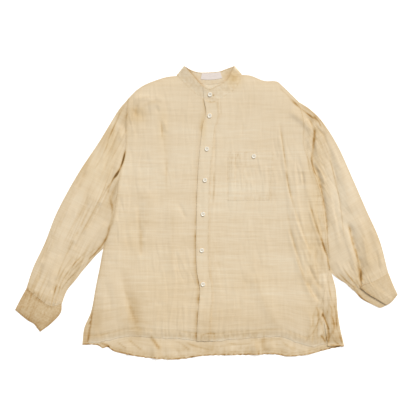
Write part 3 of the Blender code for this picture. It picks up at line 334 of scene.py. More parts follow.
# Painted shadows: dark lines where one layer stands off another or is pinched between two, and two
# short stitched lines at the placket's top.
SHADOWS = rows(
    Fold, (19.5, 108, 19, 60, 16.5, 10, 1.6, 0.2), (160, 122, 163, 80, 168, 34, 3, 0.09),
    (188, 238, 202, 150, 212, 84, 1.5, 0.17), (205, 116, 214, 65, 229, 6, 2, 0.28),
    (209, 8, 221, -54, 240, -126, 2.4, 0.2), (222, 40, 230, 6, 240, -34, 1.8, 0.16),
    (230, -106, 246, -152, 260, -184, 1.8, 0.27), (256, -172, 268, -200, 284, -228, 1.6, 0.18),
    (300, -260, 311, -286, 320, -310, 2.2, 0.4), (281, -238, 291, -268, 284, -300, 1.8, 0.24),
    (287, -288, 279, -308, 264, -324, 1.8, 0.2), (312, -300, 319, -322, 313, -343, 3, 0.2),
    (329, -230, 337, -268, 338, -308, 1.8, 0.34), (336, -298, 347, -322, 352, -344, 2, 0.3),
    (321, -262, 331, -290, 326, -318, 1.8, 0.36), (326, -316, 333, -334, 348, -342, 2, 0.24),
    (318, -343, 336, -346.5, 354, -345, 2.4, 0.3), (316, -236, 325, -252, 323, -276, 1.6, 0.26),
    (296, -214, 304, -236, 302, -262, 1.6, 0.2), (316, -168, 320, -206, 328, -236, 1.8, 0.2),
    (270, -262, 276, -284, 268, -306, 1.6, 0.14), (294, -318, 304, -328, 312, -346, 2, 0.24),
    (-297, -256, -304, -300, -309.5, -344, 1.8, 0.32),
    (-278, -336, -264, -343, -248, -349, 3.4, 0.55),
    (-146, -318, -134, -338, -118, -360, 4.6, 0.36),
    (-204, -328, -186, -344, -166, -360, 2.2, 0.3),
    (-232, -334, -222, -344, -206, -354, 1.8, 0.24), (-86, -334, -64, -342, -44, -360, 2.2, 0.26),
    (141, -324, 149, -340, 152, -362, 6, 0.14), (144, -329, 172, -329, 200, -326, 3.4, 0.2),
    (196, -330, 206, -344, 226, -357, 2.2, 0.22), (52, -338, 84, -343, 118, -339, 1.8, 0.14),
    (166, -338, 190, -344, 214, -342, 1.8, 0.14), (250, -338, 263, -328, 264, -310, 2, 0.28),
    (-16, -319, 4, -314, 24, -311, 2, 0.26), (-216, -132, -191, -227, -158, -290, 8, 0.07),
    (-198, -236, -186, -284, -176, -330, 11, 0.07),
    (-390, -200, -380, -170, -364, -138, 1.5, 0.34),
    (-385, -202, -371, -173, -350, -144, 1.5, 0.34),
    (-379, -206, -363, -180, -338, -154, 1.5, 0.34),
    (-396, -214, -391, -196, -388, -180, 1.5, 0.22), (186, 328, 212, 303, 246, 272, 1.7, 0.32),
    (206, 304, 250, 266, 290, 238, 1.9, 0.46), (274, 252, 291, 237, 297, 218, 2, 0.4),
    (283, 230, 279, 185, 274, 146, 2.8, 0.42), (275, 158, 274, 128, 286, 92, 2.2, 0.38),
    (274, 116, 291, 80, 304, 34, 2, 0.26), (300, 48, 309, 0, 313, -34, 1.6, 0.24),
    (313, -10, 314.5, -70, 321, -130, 1.6, 0.26), (270, 20, 283, -26, 298, -68, 1.8, 0.3),
    (290, -46, 306, -92, 321, -136, 2.2, 0.34), (312, -116, 317, -134, 323, -156, 2, 0.36),
    (303, 190, 327, 114, 339, 56, 1.5, 0.18), (336, 74, 349, 10, 357, -84, 1.5, 0.2),
    (368, -26, 377, -70, 394, -126, 3.2, 0.28), (380, -86, 399, -146, 399, -198, 3.4, 0.38),
    (-200, 294, -216, 272, -232, 246, 1.7, 0.24), (-221, 264, -241, 221, -262, 172, 2.2, 0.26),
    (-252, 192, -268, 152, -292, 110, 2, 0.32), (-210, 170, -220, 124, -241, 86, 2.4, 1),
    (-226, 110, -243, 85, -260, 58, 2.2, 0.55), (-258, 66, -251, 40, -248, 14, 2, 0.14),
    (-250, 36, -244, -6, -256, -50, 3.4, 0.46), (-252, -30, -261, -68, -286, -99, 3, 0.46),
    (-274, -86, -290, -106, -310, -124, 2, 0.34), (-230, 240, -259, 162, -282, 123, 2.2, 0.12),
    (-248, 80, -283, 20, -336, -75, 2.4, 0.15), (-276, 30, -300, -18, -322, -60, 2.8, 0.09),
    (29.5, 290, 30, 272, 31.5, 252, 1.3, 0.3), (36.5, 290, 37.5, 272, 38.5, 252, 1.3, 0.24),
    (16, 305, 18, 304, 21, 303, 2.2, 0.5), (-2, 291, 9, 285.5, 24, 290, 1.7, 0.14),
    (-204, 262, -210, 236, -209, 206, 2.2, 0.12), (334, -160, 352, -178, 384, -206, 1.8, 0.3),
    (338, -150, 362, -176, 392, -200, 1.8, 0.28), (352, -140, 372, -168, 394, -192, 1.8, 0.26),
    (390, -206, 408, -226, 428, -236, 2, 0.3), (263, 180, 264, 130, 280, 70, 2, 0.2),
    (401, -191, 420, -206, 448, -228, 2, 0.18), (-268, -80, -323, -124, -381, -192, 1.5, 0.2),
    (-300, -90, -347, -138, -380, -184, 1.8, 0.32), (-337, -58, -368, -119, -390, -176, 2, 0.28),
    (-359, -167, -377, -189, -387, -236, 2, 0.12), (-344, -112, -372, -150, -392, -190, 1.7, 0.24),
    (-390, -184, -397, -216, -406, -250, 2.2, 0.26), (-376, -184, -387, -214, -397, -250, 2, 0.22),
    (-404, -196, -410, -214, -420, -232, 2, 0.16), (-407, -63, -422, -102, -439, -145, 2.4, 0.16),
    (-302, 60, -330, -10, -372, -96, 2.6, 0.09), (-330, 84, -362, 20, -392, -50, 2.6, 0.08),
    (-60, -334, -20, -350, 30, -360, 2.2, 0.2), (-198, 268, -182, 262, -176, 246, 2.4, 0.16),
    (-156, 286, -132, 284, -118, 270, 2.4, 0.14), (-118, 236, -116, 214, -115, 190, 1.8, 0.16),
    (-104, 132, -104, 84, -102, 40, 2.2, 0.1), (-178, -2, -171, -50, -170, -112, 3.6, 0.12),
    (-186, 34, -160, 38, -130, 36, 5, 0.05),
)
# Along the placket, from the hem up: how wide and how deep its shade on the right front is.
SHADE_WIDTH = (
    (-320, 4.6), (-240, 6), (-160, 6.2), (-100, 5.2), (-30, 4.6), (20, 3.6), (80, 2.6), (205, 2.6),
    (224, 6), (244, 5), (262, 3),
)
SHADE_DEPTH = (
    (-330, 0.2), (-290, 0.32), (-215, 0.4), (-150, 0.34), (-90, 0.38), (-30, 0.33), (25, 0.24),
    (90, 0.26), (150, 0.13), (208, 0.12), (226, 0.3), (260, 0.32), (290, 0.36),
)
# Where the cloth is crumpled most.
CRUMPLES = rows(
    Patch, (306, -290, 36, 60, 0.95), (300, 60, 18, 170, 0.55), (276, -130, 28, 80, 0.35),
    (282, 222, 26, 40, 0.7), (-384, -190, 20, 30, 0.3), (392, -170, 26, 44, 0.7),
    (-70, -362, 200, 18, 0.45), (160, -356, 160, 18, 0.45), (-60, -322, 240, 10, 0.4),
    (120, -322, 240, 10, 0.4), (-200, -250, 26, 60, 0.2), (-246, 50, 16, 120, 0.25),
    (-200, 250, 40, 40, 0.3), (80, 120, 30, 40, 0.3), (112, 42, 54, 14, 0.14),
    (168, 38, 12, 16, 0.5), (20, -130, 20, 60, 0.3),
)
# A paler place by the side seam.
PALE_LOW = (291, -186)
PALE_HIGH = (314, -156)

# Waves of the back's tail where it shows below the front.
RIPPLES = rows(
    Ripple, (-262, 10, 1.6), (-206, 12, 2), (-132, 11, 4), (-96, 14, 2), (-30, 15, 1.5),
    (58, 16, 2), (128, 11, 4.4), (168, 10, 2.8), (215, 12, 2.2), (262, 11, 2.6),
)
# Fullness taken into the cuffs; the place is counted from the inner fold.
GATHERS_R = rows(
    Gather, (0.11, 1.9, 55), (0.22, 1.7, 70), (0.33, 2, 60), (0.44, 1.8, 40), (0.61, 1.4, 34),
    (0.78, 1.6, 30),
)
GATHERS_L = rows(
    Gather, (0.17, 1.6, 44), (0.28, 1.8, 60), (0.44, 1.4, 48), (0.61, 1.6, 34), (0.78, 1.4, 30),
)


def smoothstep(value):
    part = np.clip(value, 0.0, 1.0)
    return part * part * (3.0 - 2.0 * part)


def mark(distance, width, depth=1.0):
    """A soft line, as deep as given where the distance is nought."""
    return depth * np.exp(-((distance / width) ** 2))


def field(u, v, seed):
    """Smooth noise from -1 to 1."""
    u, v = np.broadcast_arrays(u, v)
    values = [noise.noise((a, b, seed)) for a, b in zip(u.ravel(), v.ravel())]
    return np.reshape(values, u.shape)


def length_of(steps):
    return np.linalg.norm(steps, axis=-1)


def along_run(points):
    """The length from a run's start to each of its points."""
    return np.concatenate([[0.0], np.cumsum(length_of(np.diff(points, axis=0)))])


class Line:
    """A smooth plane curve through spots, read by its share of length."""

    def __init__(self, spots):
        p = np.array(spots, dtype=float)
        before = np.vstack([2 * p[0] - p[1], p[:-1]])
        after = np.vstack([p[1:], 2 * p[-1] - p[-2]])
        slope = 0.5 * (after - before)
        t = np.linspace(0.0, 1.0, 16, endpoint=False)[:, None]
        runs = [
            (2 * t**3 - 3 * t**2 + 1) * p[i]
            + (t**3 - 2 * t**2 + t) * slope[i]
            + (3 * t**2 - 2 * t**3) * p[i + 1]
            + (t**3 - t**2) * slope[i + 1]
            for i in range(len(p) - 1)
        ]
        self.points = np.vstack([*runs, p[-1:]])
        along = along_run(self.points)
        self.share = along / along[-1]

    def at(self, share):
        return np.stack([np.interp(share, self.share, way) for way in self.points.T], axis=-1)

    def run(self, start, end, cells):
        return self.at(np.linspace(start, end, cells + 1))

    def share_at_x(self, x):
        return np.interp(x, self.points[:, 0], self.share)

    def share_at_y(self, y):
        return np.interp(y, self.points[:, 1], self.share)

    def y_at(self, x):
        return np.interp(x, self.points[:, 0], self.points[:, 1])


def coons(bottom, top, left, right):
    """Rows of points filling the patch between four runs of points."""
    u = np.linspace(0.0, 1.0, len(bottom))[None, :, None]
    v = np.linspace(0.0, 1.0, len(left))[:, None, None]
    between = (1 - v) * bottom[None] + v * top[None] + (1 - u) * left[:, None] + u * right[:, None]
    corners = (1 - v) * ((1 - u) * bottom[0] + u * bottom[-1])
    return between - corners - v * ((1 - u) * top[0] + u * top[-1])


FRONT_HEM_LINE = Line(FRONT_HEM)
BACK_HEM_LINE = Line(BACK_HEM)
SHOULDER_R_LINE = Line(SHOULDER_R)
SHOULDER_L_LINE = Line(SHOULDER_L)
NECK_LINE = Line(NECK_FRONT)
BACK_NECK_LINE = Line(NECK_BACK)


def hem_y(x):
    """The height of the front's hem on the plan, level past its ends."""
    return FRONT_HEM_LINE.y_at(np.clip(x, -308.0, 313.5))


def body_line(column, first, last):
    """One upright line of the body, with its ends moved to the given spots."""
    between = [(getattr(level, column), level.y) for level in BODY[1:-1]]
    return Line([first, *between, last])


def upright(line, knot):
    """An upright line's rows, with a knot at the armpit."""
    share = line.share_at_y(knot)
    return np.vstack([line.run(0.0, share, LOW), line.run(share, 1.0, HIGH)[1:]])


EDGE_ENDS = (-25.0, FRONT_HEM_LINE.y_at(-25.0)), (-6.5, NECK_LINE.y_at(-6.5))
EDGE_RUN = upright(body_line("edge", *EDGE_ENDS), ARMPIT_EDGE)
FRONT_R_RUN = upright(body_line("front_r", FRONT_HEM[0], SHOULDER_R[0]), ARMPIT_R)
BACK_R_RUN = upright(body_line("back_r", TAIL_FROM, SHOULDER_R[0]), ARMPIT_R)
FRONT_L_RUN = upright(body_line("front_l", FRONT_HEM[-1], SHOULDER_L[-1]), ARMPIT_L)
BACK_L_RUN = upright(body_line("back_l", TAIL_TO, SHOULDER_L[-1]), ARMPIT_L)
BACK_L_RUN[LOW + 1 :] = FRONT_L_RUN[LOW + 1 :]


def placket_run(part):
    """The front edge's rows moved across by a share of the placket."""
    run = EDGE_RUN.copy()
    run[:, 0] += part * PLACKET_WIDTH
    hem = FRONT_HEM_LINE.y_at(run[0, 0])
    neck = NECK_LINE.y_at(run[-1, 0])
    share = np.linspace(0.0, 1.0, len(run))
    run[:, 1] += (1 - share) ** 4 * (hem - run[0, 1]) + share**4 * (neck - run[-1, 1])
    return run


def two_lines(table):
    """The lines through the first and the second spots of a table's rows."""
    return Line([row[:2] for row in table]), Line([row[2:] for row in table])


PLACKET_RUNS = [placket_run(part) for part in np.linspace(0.0, 1.0, STRIP + 1)]
SLEEVE_R_OUT, SLEEVE_R_IN = two_lines(SLEEVE_R)
SLEEVE_L_OUT, SLEEVE_L_IN = two_lines(SLEEVE_L)
CUFF_R_SEAM, CUFF_R_END = two_lines(CUFF_R)
CUFF_L_SEAM, CUFF_L_END = two_lines(CUFF_L)
CUFF_R_SIDES = Line(CUFF_R_SIDE), Line(CUFF_R_OUTER)
CUFF_L_SIDES = Line(CUFF_L_SIDE), Line(CUFF_L_OUTER)

# The shirt's outline on the table; the front's hem, which lies on the tail, stands apart.
OUTER_LINES = (
    (SLEEVE_R_IN, 16), (CUFF_R_SIDES[0], 8), (CUFF_R_END, 8), (CUFF_R_SIDES[1], 4),
    (SLEEVE_R_OUT, 30), (SHOULDER_R_LINE, 10), (SHOULDER_L_LINE, 14), (SLEEVE_L_OUT, 30),
    (CUFF_L_SIDES[1], 4), (CUFF_L_END, 8), (CUFF_L_SIDES[0], 8), (SLEEVE_L_IN, 16),
)
OUTER_RUNS = [
    *(line.run(0, 1, cells) for line, cells in OUTER_LINES),
    FRONT_R_RUN[: LOW + 1 : FINE],
    BACK_L_RUN[: LOW + 1 : FINE],
    np.array([FRONT_HEM[-1], TAIL_TO], dtype=float),
]
FRONT_HEM_RUN = FRONT_HEM_LINE.run(0, 1, 60)
ARMHOLES = (FRONT_R_RUN[LOW::FINE], FRONT_L_RUN[LOW::FINE])
PEAK_RUN = Line(EDGE_RIGHT).run(0.0, 1.0, 12)


def nearest(points, run):
    """Distance to a run of points, its signed side and the share of length there."""
    start = run[:-1]
    step = run[1:] - start
    size = np.sum(step**2, axis=1)
    found = []
    for part in np.array_split(points, len(points) // 6000 + 1):
        away = part[:, None] - start[None]
        along = np.clip(np.sum(away * step[None], axis=2) / size, 0.0, 1.0)
        off = away - along[..., None] * step[None]
        distance = length_of(off)
        best = np.argmin(distance, axis=1)
        each = np.arange(len(part))
        cross = step[best, 0] * off[each, best, 1] - step[best, 1] * off[each, best, 0]
        share = (best + along[each, best]) / len(start)
        found.append(np.stack([distance[each, best], np.sign(cross), share]))
    return np.concatenate(found, axis=1)


def clearance(points, runs):
    """Distance to the nearest of several runs."""
    return np.min([nearest(points, run)[0] for run in runs], axis=0)


def fold_height(points, folds):
    """Sum of the folds at the points."""
    total = np.zeros(len(points))
    t = np.linspace(0.0, 1.0, 13)[:, None]
    for fold in folds:
        a, b, c = np.reshape(fold[:6], (3, 2))
        middle = 2 * b - 0.5 * (a + c)
        run = (1 - t) ** 2 * a + 2 * t * (1 - t) * middle + t**2 * c
        reach = 3.5 * fold.width
        inside = (points > run.min(axis=0) - reach) & (points < run.max(axis=0) + reach)
        close = np.flatnonzero(np.all(inside, axis=1))
        if len(close) == 0:
            continue
        distance, side, share = nearest(points[close], run)
        ends = smoothstep(share / 0.22) * smoothstep((1.0 - share) / 0.22)
        total[close] += mark(distance, fold.width * (1.0 + fold.lean * side), fold.height * ends)
    return total


def patch_share(points, patches):
    """Sum of soft round patches at the points."""
    total = np.zeros(len(points))
    for patch in patches:
        off = ((points[:, 0] - patch.x) / patch.across) ** 2
        off += ((points[:, 1] - patch.y) / patch.along) ** 2
        total += patch.depth * np.exp(-off)
    return total


def turned(x, y, turn):
    """Distance across and along a grain that is turned from upright."""
    return math.cos(turn) * x + math.sin(turn) * y, math.cos(turn) * y - math.sin(turn) * x


def grain(x, y, turn):
    """Where a place lies on the cut cloth, across and along its threads."""
    across, along = turned(x, y, turn)
    if turn == 0.0:
        along = along - mark(y + 330.0, 95.0, hem_y(x) + 328.0)
    return across, along


def crumple(points, turn):
    """The crumpled cloth's small valleys, 1 at the bottom of each."""
    share = patch_share(points, CRUMPLES)
    some = np.flatnonzero(share > 0.04)
    u, v = grain(points[some, 0], points[some, 1], turn)
    bend = 0.5 * field(u / 40.0, v / 50.0, 5.0)
    valley = mark(field(u / 15.0 + bend, v / 60.0, 43.0), 0.14)
    valley += mark(field(u / 12.0, v / 16.0, 47.0), 0.12, 0.8)
    valley += mark(field(u / 9.0 + bend, v / 38.0, 83.0), 0.17, 0.8)
    total = np.zeros(len(points))
    total[some] = share[some] * valley
    return total


def drag_lines(points, turn):
    """Lines pulled along a sleeve, 1 at the bottom of each; fewer on the left one."""
    if not turn:
        return np.zeros(len(points))
    u, v = grain(points[:, 0], points[:, 1], turn)
    bend = 0.4 * field(u / 60.0, v / 90.0, 3.0)
    much = np.clip(0.45 + field(u / 60.0, v / 110.0, 71.0), 0.0, 1.0)
    wide = mark(field(u / 15.0 + bend, v / 240.0, 67.0), 0.13)
    thin = mark(field(u / 8.0 + bend, v / 120.0, 73.0), 0.15, 0.5)
    return (wide + thin) * much * (1.0 if turn < 0.0 else 0.3)


def wrinkle_height(points, turn):
    """Washed-in wrinkles, their grain turned from upright."""
    u, v = turned(points[:, 0], points[:, 1], turn)
    sway = 14.0 * field(u / 90.0, v / 130.0, 31.0)
    total = -1.2 * crumple(points, turn) - drag_lines(points, turn)
    for number, wrinkle in enumerate(WRINKLES):
        wave = field((u + sway) / wrinkle.across, v / wrinkle.along, 7.3 * number)
        total += wrinkle.height * (mark(wave, 0.14) if wrinkle.crisp else wave)
    much = 0.75 + 0.9 * field(u / 150.0, v / 190.0, 53.0)
    return total * np.clip(much, 0.25, 1.5)


def under(grid, turn=0.0, rough=1.0):
    """Height of the upper layer's underside over the table."""
    points = grid.reshape(-1, 2)
    edge = clearance(points, [FRONT_HEM_RUN, *OUTER_RUNS])
    seam = smoothstep(clearance(points, ARMHOLES) / SEAM_REACH)
    relief = fold_height(points, FOLDS) + fold_height(points, CREASES)
    relief += rough * wrinkle_height(points, turn) * seam
    air = PUFF * (1.0 - np.exp(-edge / PUFF_REACH)) + relief * (1.0 - mark(edge, RELIEF_REACH))
    air = 0.5 * (air + np.sqrt(air**2 + 0.2))
    return (STEP + air).reshape(grid.shape[:-1])


def lifted(grid, height):
    """Plane points with their heights."""
    return np.concatenate([grid, height[..., None]], axis=-1)


def uneven(points, size, seed, least=0.05):
    """How far the strength of a line varies from place to place."""
    wave = field(points[..., 0] / size, points[..., 1] / size, seed)
    return np.clip(0.75 + 1.2 * wave, least, 1.6)


# Painted shade of the folds and creases: darker in their troughs, and a little darker along their
# ridges.
TROUGH_SHADE = [
    fold._replace(width=0.3 * fold.width + 0.8, height=-0.06 * fold.height)
    for fold in FOLDS + CREASES
    if fold.height < 0
]
RIDGE_SHADE = [
    fold._replace(width=0.25 * fold.width + 0.6, height=0.022 * fold.height)
    for fold in FOLDS + CREASES
    if fold.height > 0
]


def tone_and_shade_of(grid, turn=0.0):
    """How much deeper a place is coloured, painted shade and painted shadows included."""
    points = grid[..., :2].reshape(-1, 2)
    edge = clearance(points, OUTER_RUNS)
    # Darker towards the outline.
    depth = 0.12 * np.exp(-edge / 4.0) + 0.03 * np.exp(-edge / 30.0)
    # Darker towards the hem.
    depth += 0.05 * smoothstep((-190.0 - points[:, 1]) / 130.0)
    # Painted shade along the folds and creases.
    folds = fold_height(points, TROUGH_SHADE) + fold_height(points, RIDGE_SHADE)
    depth += folds * uneven(points, 12.0, 23.0)
    # Painted shadows.
    depth += fold_height(points, SHADOWS) * uneven(points, 32.0, 27.0, 0.4)
    # Painted shade in the valleys of crumples and drag lines.
    depth += 0.15 * crumple(points, turn) + 0.16 * drag_lines(points, turn)
    depth += patch_share(points, TONE_AND_SHADE_PATCHES)
    inside = smoothstep((points - PALE_LOW) / 3.0) * smoothstep((PALE_HIGH - points) / 3.0)
    depth -= 0.12 * inside[:, 0] * inside[:, 1]
    return depth.reshape(grid.shape[:-1])


def top_face(inside, thick=CLOTH):
    """The upper face of a sheet, from the points of its lower one."""
    normal = np.cross(np.gradient(inside, axis=1), np.gradient(inside, axis=0))
    normal /= length_of(normal)[..., None]
    return inside + thick * normal * np.sign(normal[..., 2:])


def linear(code):
    """An sRGB hex colour as linear light."""
    values = [int(code[i : i + 2], 16) / 255 for i in (1, 3, 5)]
    return (*[v / 12.92 if v <= 0.04045 else ((v + 0.055) / 1.055) ** 2.4 for v in values], 1.0)


def feed(tree, node, sockets):
    """Sets a node's sockets, or links each to the output that is given for it."""
    for name, value in sockets.items():
        if isinstance(value, bpy.types.NodeSocket):
            tree.links.new(value, node.inputs[name])
        else:
            node.inputs[name].default_value = value


def add(tree, kind, sockets, **settings):
    """Adds one node with its settings, and feeds its sockets."""
    node = tree.nodes.new(f"ShaderNode{kind}")
    for name, value in settings.items():
        setattr(node, name, value)
    feed(tree, node, sockets)
    return node


def surface(name):
    """A new material with its shader, which the caller sets."""
    material = bpy.data.materials.new(name)
    material.use_nodes = True
    tree = material.node_tree
    return material, tree, tree.nodes["Principled BSDF"]


def linen_gauze():
    """Undyed slubby linen gauze, woven and washed: thick and thin threads show as broken lines,
    and where the thin cloth is doubled it looks deeper. Where it is folded or bunched, painted
    shade comes in through its tone."""
    material, tree, shader = surface("washed_linen_gauze")
    cut = add(tree, "UVMap", {}, uv_map="cut").outputs["UV"]
    tone, plain, warm_tint = (
        add(tree, "Attribute", {}, attribute_name=name).outputs["Fac"]
        for name in ("tone", "weave", "yellowing_and_shade")
    )
    shade = -0.5 * sum(kind.depth for kind in THREADS)
    relief = 0.0
    for kind in THREADS:
        spacing = (1000.0 / kind.across, 1000.0 / kind.along, 1.0)
        shift = (kind.shift, 1.7 * kind.shift, 0.0)
        place = add(tree, "Mapping", {"Vector": cut, "Location": shift, "Scale": spacing})
        thread = {"Vector": place.outputs[0], "Scale": 1.0, "Detail": kind.detail}
        thread["Roughness"] = 0.55
        line = add(tree, "TexNoise", thread, noise_dimensions="2D").outputs["Fac"]
        deeper = {0: line, 1: kind.depth, 2: shade}
        shade = add(tree, "Math", deeper, operation="MULTIPLY_ADD").outputs[0]
        higher = {0: line, 1: kind.relief, 2: relief}
        relief = add(tree, "Math", higher, operation="MULTIPLY_ADD").outputs[0]
    # The tone brings in the painted shade.
    whole = add(tree, "Math", {0: shade, 1: plain, 2: tone}, operation="MULTIPLY_ADD").outputs[0]
    part = add(tree, "MapRange", {"Value": whole, "From Min": -0.2, "From Max": 0.8})
    ramp = add(tree, "ValToRGB", {"Fac": part.outputs["Result"]})
    stops = ramp.color_ramp.elements
    for number, (at, code) in enumerate(LINEN_SHADES):
        stop = stops[number] if number < 2 else stops.new(at)
        stop.position = at
        stop.color = linear(code)
    # The yellow tint brings in the cloth's yellowing and the warm tint of painted shade.
    shades = {0: warm_tint, 6: ramp.outputs["Color"], 7: linear(YELLOWEST)}
    colour = add(tree, "Mix", shades, data_type="RGBA", blend_type="MULTIPLY")
    # The threads' roughness.
    wear_and_painted_light = add(tree, "MapRange", {"Value": line, "To Min": 0.78, "To Max": 0.96})
    bump = add(tree, "Bump", {"Height": relief, "Strength": 0.4, "Distance": 0.0006})
    finish = {"Specular IOR Level": 0.25, "Sheen Weight": 0.12, "Sheen Roughness": 0.5}
    finish["Base Color"] = colour.outputs[2]
    finish["Roughness"] = wear_and_painted_light.outputs["Result"]
    finish["Normal"] = bump.outputs["Normal"]
    feed(tree, shader, finish)
    return material


def mottle(tree, shader, part, height, colours, strength, distance, finish):
    """Gives a shader a mottled colour, a fine relief and the rest of its finish."""
    mixed = {0: part, 6: linear(colours[0]), 7: linear(colours[1])}
    mix = add(tree, "Mix", mixed, data_type="RGBA")
    bump = add(tree, "Bump", {"Height": height, "Strength": strength, "Distance": distance})
    feed(tree, shader, {"Base Color": mix.outputs[2], "Normal": bump.outputs["Normal"], **finish})


def sewing_thread():
    """Spun cotton thread, dyed to match: a twisted strand, painted darker in the hollows between
    its plies for their shade.
    """
    material, tree, shader = surface("spun_cotton_thread")
    place = add(tree, "TexCoord", {}).outputs["Object"]
    plies = {"Vector": place, "Scale": 900.0, "Detail": 2.0}
    twist = add(tree, "TexNoise", plies).outputs["Fac"]
    colours = ("#d2ba8f", "#eedfbf")
    mottle(tree, shader, twist, twist, colours, 0.4, 0.0002, {"Roughness": 0.7})
    return material


def woven_tape():
    """Polyester satin label tape: fine crosswise ribs and a slight silky lustre. Real ribs are
    0.3 mm apart; these are 1.6 mm, as coarse as they need to show."""
    material, tree, shader = surface("woven_satin_tape")
    cut = add(tree, "UVMap", {}, uv_map="cut").outputs["UV"]
    place = add(tree, "Mapping", {"Vector": cut, "Scale": (1000.0 / 14.0, 1000.0 / 1.6, 1.0)})
    weft = {"Vector": place.outputs["Vector"], "Scale": 1.0, "Detail": 2.0}
    ribs = add(tree, "TexNoise", weft, noise_dimensions="2D").outputs["Fac"]
    # The tone brings the cloth's painted shade onto the label.
    edge = add(tree, "Attribute", {}, attribute_name="tone").outputs["Fac"]
    shade = add(tree, "Math", {0: ribs, 1: 0.6, 2: edge}, operation="MULTIPLY_ADD").outputs[0]
    finish = {"Roughness": 0.5, "Sheen Weight": 0.2}
    mottle(tree, shader, shade, ribs, ("#fbf0e9", "#d9c8bb"), 0.3, 0.0003, finish)
    return material


def pearl_button():
    """Cast polyester resin with a pearl effect: milky, faintly clouded and tumble-polished."""
    material, tree, shader = surface("pearl_polyester_resin")
    place = add(tree, "TexCoord", {}).outputs["Object"]
    clouds = {"Vector": place, "Scale": 260.0, "Detail": 3.0, "Distortion": 1.2}
    swirl = add(tree, "TexNoise", clouds).outputs["Fac"]
    polish = add(tree, "MapRange", {"Value": swirl, "To Min": 0.2, "To Max": 0.38})
    finish = {"IOR": 1.54, "Coat Weight": 0.4, "Coat Roughness": 0.12}
    finish["Roughness"] = polish.outputs["Result"]
    mottle(tree, shader, swirl, swirl, ("#f9eed8", "#fffbf0"), 0.15, 0.0002, finish)
    return material


LINEN = linen_gauze()
THREAD = sewing_thread()
TAPE = woven_tape()
PEARL = pearl_button()


def place_piece(name, mesh, material, node=None):
    """Makes a finished object of a bmesh, riding on the shirt's one body."""
    for edge in mesh.edges:
        edge.smooth = edge.calc_face_angle(0.0) < SHARP_EDGE
    data = bpy.data.meshes.new(name)
    mesh.to_mesh(data)
    mesh.free()
    data.polygons.foreach_set("use_smooth", np.ones(len(data.polygons), dtype=bool))
    data.materials.append(material)
    made = bpy.data.objects.new(name, data)
    bpy.context.scene.collection.objects.link(made)
    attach(made, "root")
    if node:
        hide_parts(node)
    return made


def sheet(
    name, inside, outward, material=LINEN, turn=0.0, keep=None, wrap=False, thick=CLOTH,
    tone=0.0, weave=1.0,
):
    """Cloth of one thickness: rows of points for its inner face, grown outwards."""
    deep, wide = inside.shape[:2]
    mesh = bmesh.new()
    mesh.loops.layers.uv.new("cut")
    bmesh.ops.create_grid(mesh, x_segments=wide - 1, y_segments=deep - 1, size=1.0, calc_uvs=True)
    # The cloth's yellowing, and the warm tint of painted shade.
    warm_tint = patch_share(inside[..., :2].reshape(-1, 2), YELLOWING_AND_SHADE_TINT)
    # The tone holds painted shade and painted shadows as well as the cloth's own tone.
    looks = {
        "tone": (tone_and_shade_of(inside, turn) + tone).ravel(),
        "weave": np.broadcast_to(weave, (deep, wide)).ravel(),
        "yellowing_and_shade": np.clip(warm_tint, 0.0, 1.0),
    }
    layers = [mesh.verts.layers.float.new(look) for look in looks]
    for vert, place, *given in zip(mesh.verts, inside.reshape(-1, 3) * MM, *looks.values()):
        vert.co = place
        for layer, value in zip(layers, given):
            vert[layer] = value
    if keep is not None:
        cut = [face for face, kept in zip(mesh.faces, keep.ravel()) if not kept]
        bmesh.ops.delete(mesh, geom=cut, context="FACES")
    if wrap:
        bmesh.ops.remove_doubles(mesh, verts=mesh.verts, dist=1e-7)
    mesh.normal_update()
    mesh.faces.ensure_lookup_table()
    if mesh.faces[0].normal.z * outward < 0:
        bmesh.ops.reverse_faces(mesh, faces=mesh.faces)
        mesh.normal_update()
    grown = bmesh.ops.extrude_face_region(mesh, geom=mesh.faces[:], use_keep_orig=True)
    fresh = [item for item in grown["geom"] if isinstance(item, bmesh.types.BMVert)]
    moves = [vert.normal * thick * MM for vert in fresh]
    for vert, move in zip(fresh, moves):
        vert.co += move
    bmesh.ops.recalc_face_normals(mesh, faces=mesh.faces)
    made = place_piece(f"{name}_cloth", mesh, material, node=name)
    data = made.data
    corner = np.empty(len(data.loops), dtype=np.int32)
    data.loops.foreach_get("vertex_index", corner)
    place = np.empty(len(data.vertices) * 3, dtype=np.float32)
    data.vertices.foreach_get("co", place)
    place = place.reshape(-1, 3)[corner] / MM
    uv = np.stack(grain(place[:, 0], place[:, 1], turn), axis=-1).astype(np.float32) * MM
    data.uv_layers["cut"].data.foreach_set("uv", uv.ravel())


def flutter(grid):
    """The front with its hem's edge a little wavy."""
    x, y = grid[..., 0], grid[..., 1]
    wave = field(x / 16.0, 0.0, 89.0) + 0.5 * field(x / 6.0, 0.0, 93.0)
    moved = grid.copy()
    moved[..., 1] += 2.2 * wave * mark(y - FRONT_HEM_LINE.y_at(x), 12.0)
    return moved


def front_right():
    """Right front: side to free edge, then the strip under the placket. It stands a little over
    the sleeve that it laps."""
    edge = PLACKET_RUNS[0]
    hem = FRONT_HEM_LINE.run(0.0, FRONT_HEM_LINE.share_at_x(edge[0, 0]), ACROSS)
    neck = NECK_LINE.run(0.0, NECK_LINE.share_at_x(edge[-1, 0]), NECK_COLUMNS)
    shoulder = SHOULDER_R_LINE.run(0.0, 1.0, ACROSS - NECK_COLUMNS)
    grid = coons(hem, np.vstack([shoulder[:-1], neck]), FRONT_R_RUN, edge)
    grid = flutter(np.concatenate([grid, np.stack(PLACKET_RUNS[1:], axis=1)], axis=1))
    from_armpit = (np.arange(len(grid)) - LOW) / FINE
    share = np.interp(from_armpit, [-2, -1, 0, 17, 18], [0.0, 0.6, 1.0, 1.0, 0.0])
    reach = grid[:, :, 0] - grid[:, :1, 0]
    lift = SIDE_LIFT * share[:, None] * (1.0 - smoothstep((reach - 15.0) / 26.0))
    return grid, under(grid) + lift


def rise_and_fall(count, first, last):
    """1 between two of a grid's lines, falling evenly to 0 at the outer ones."""
    return np.interp(np.arange(count), [0, first, last, count - 1], [0.0, 1.0, 1.0, 0.0])


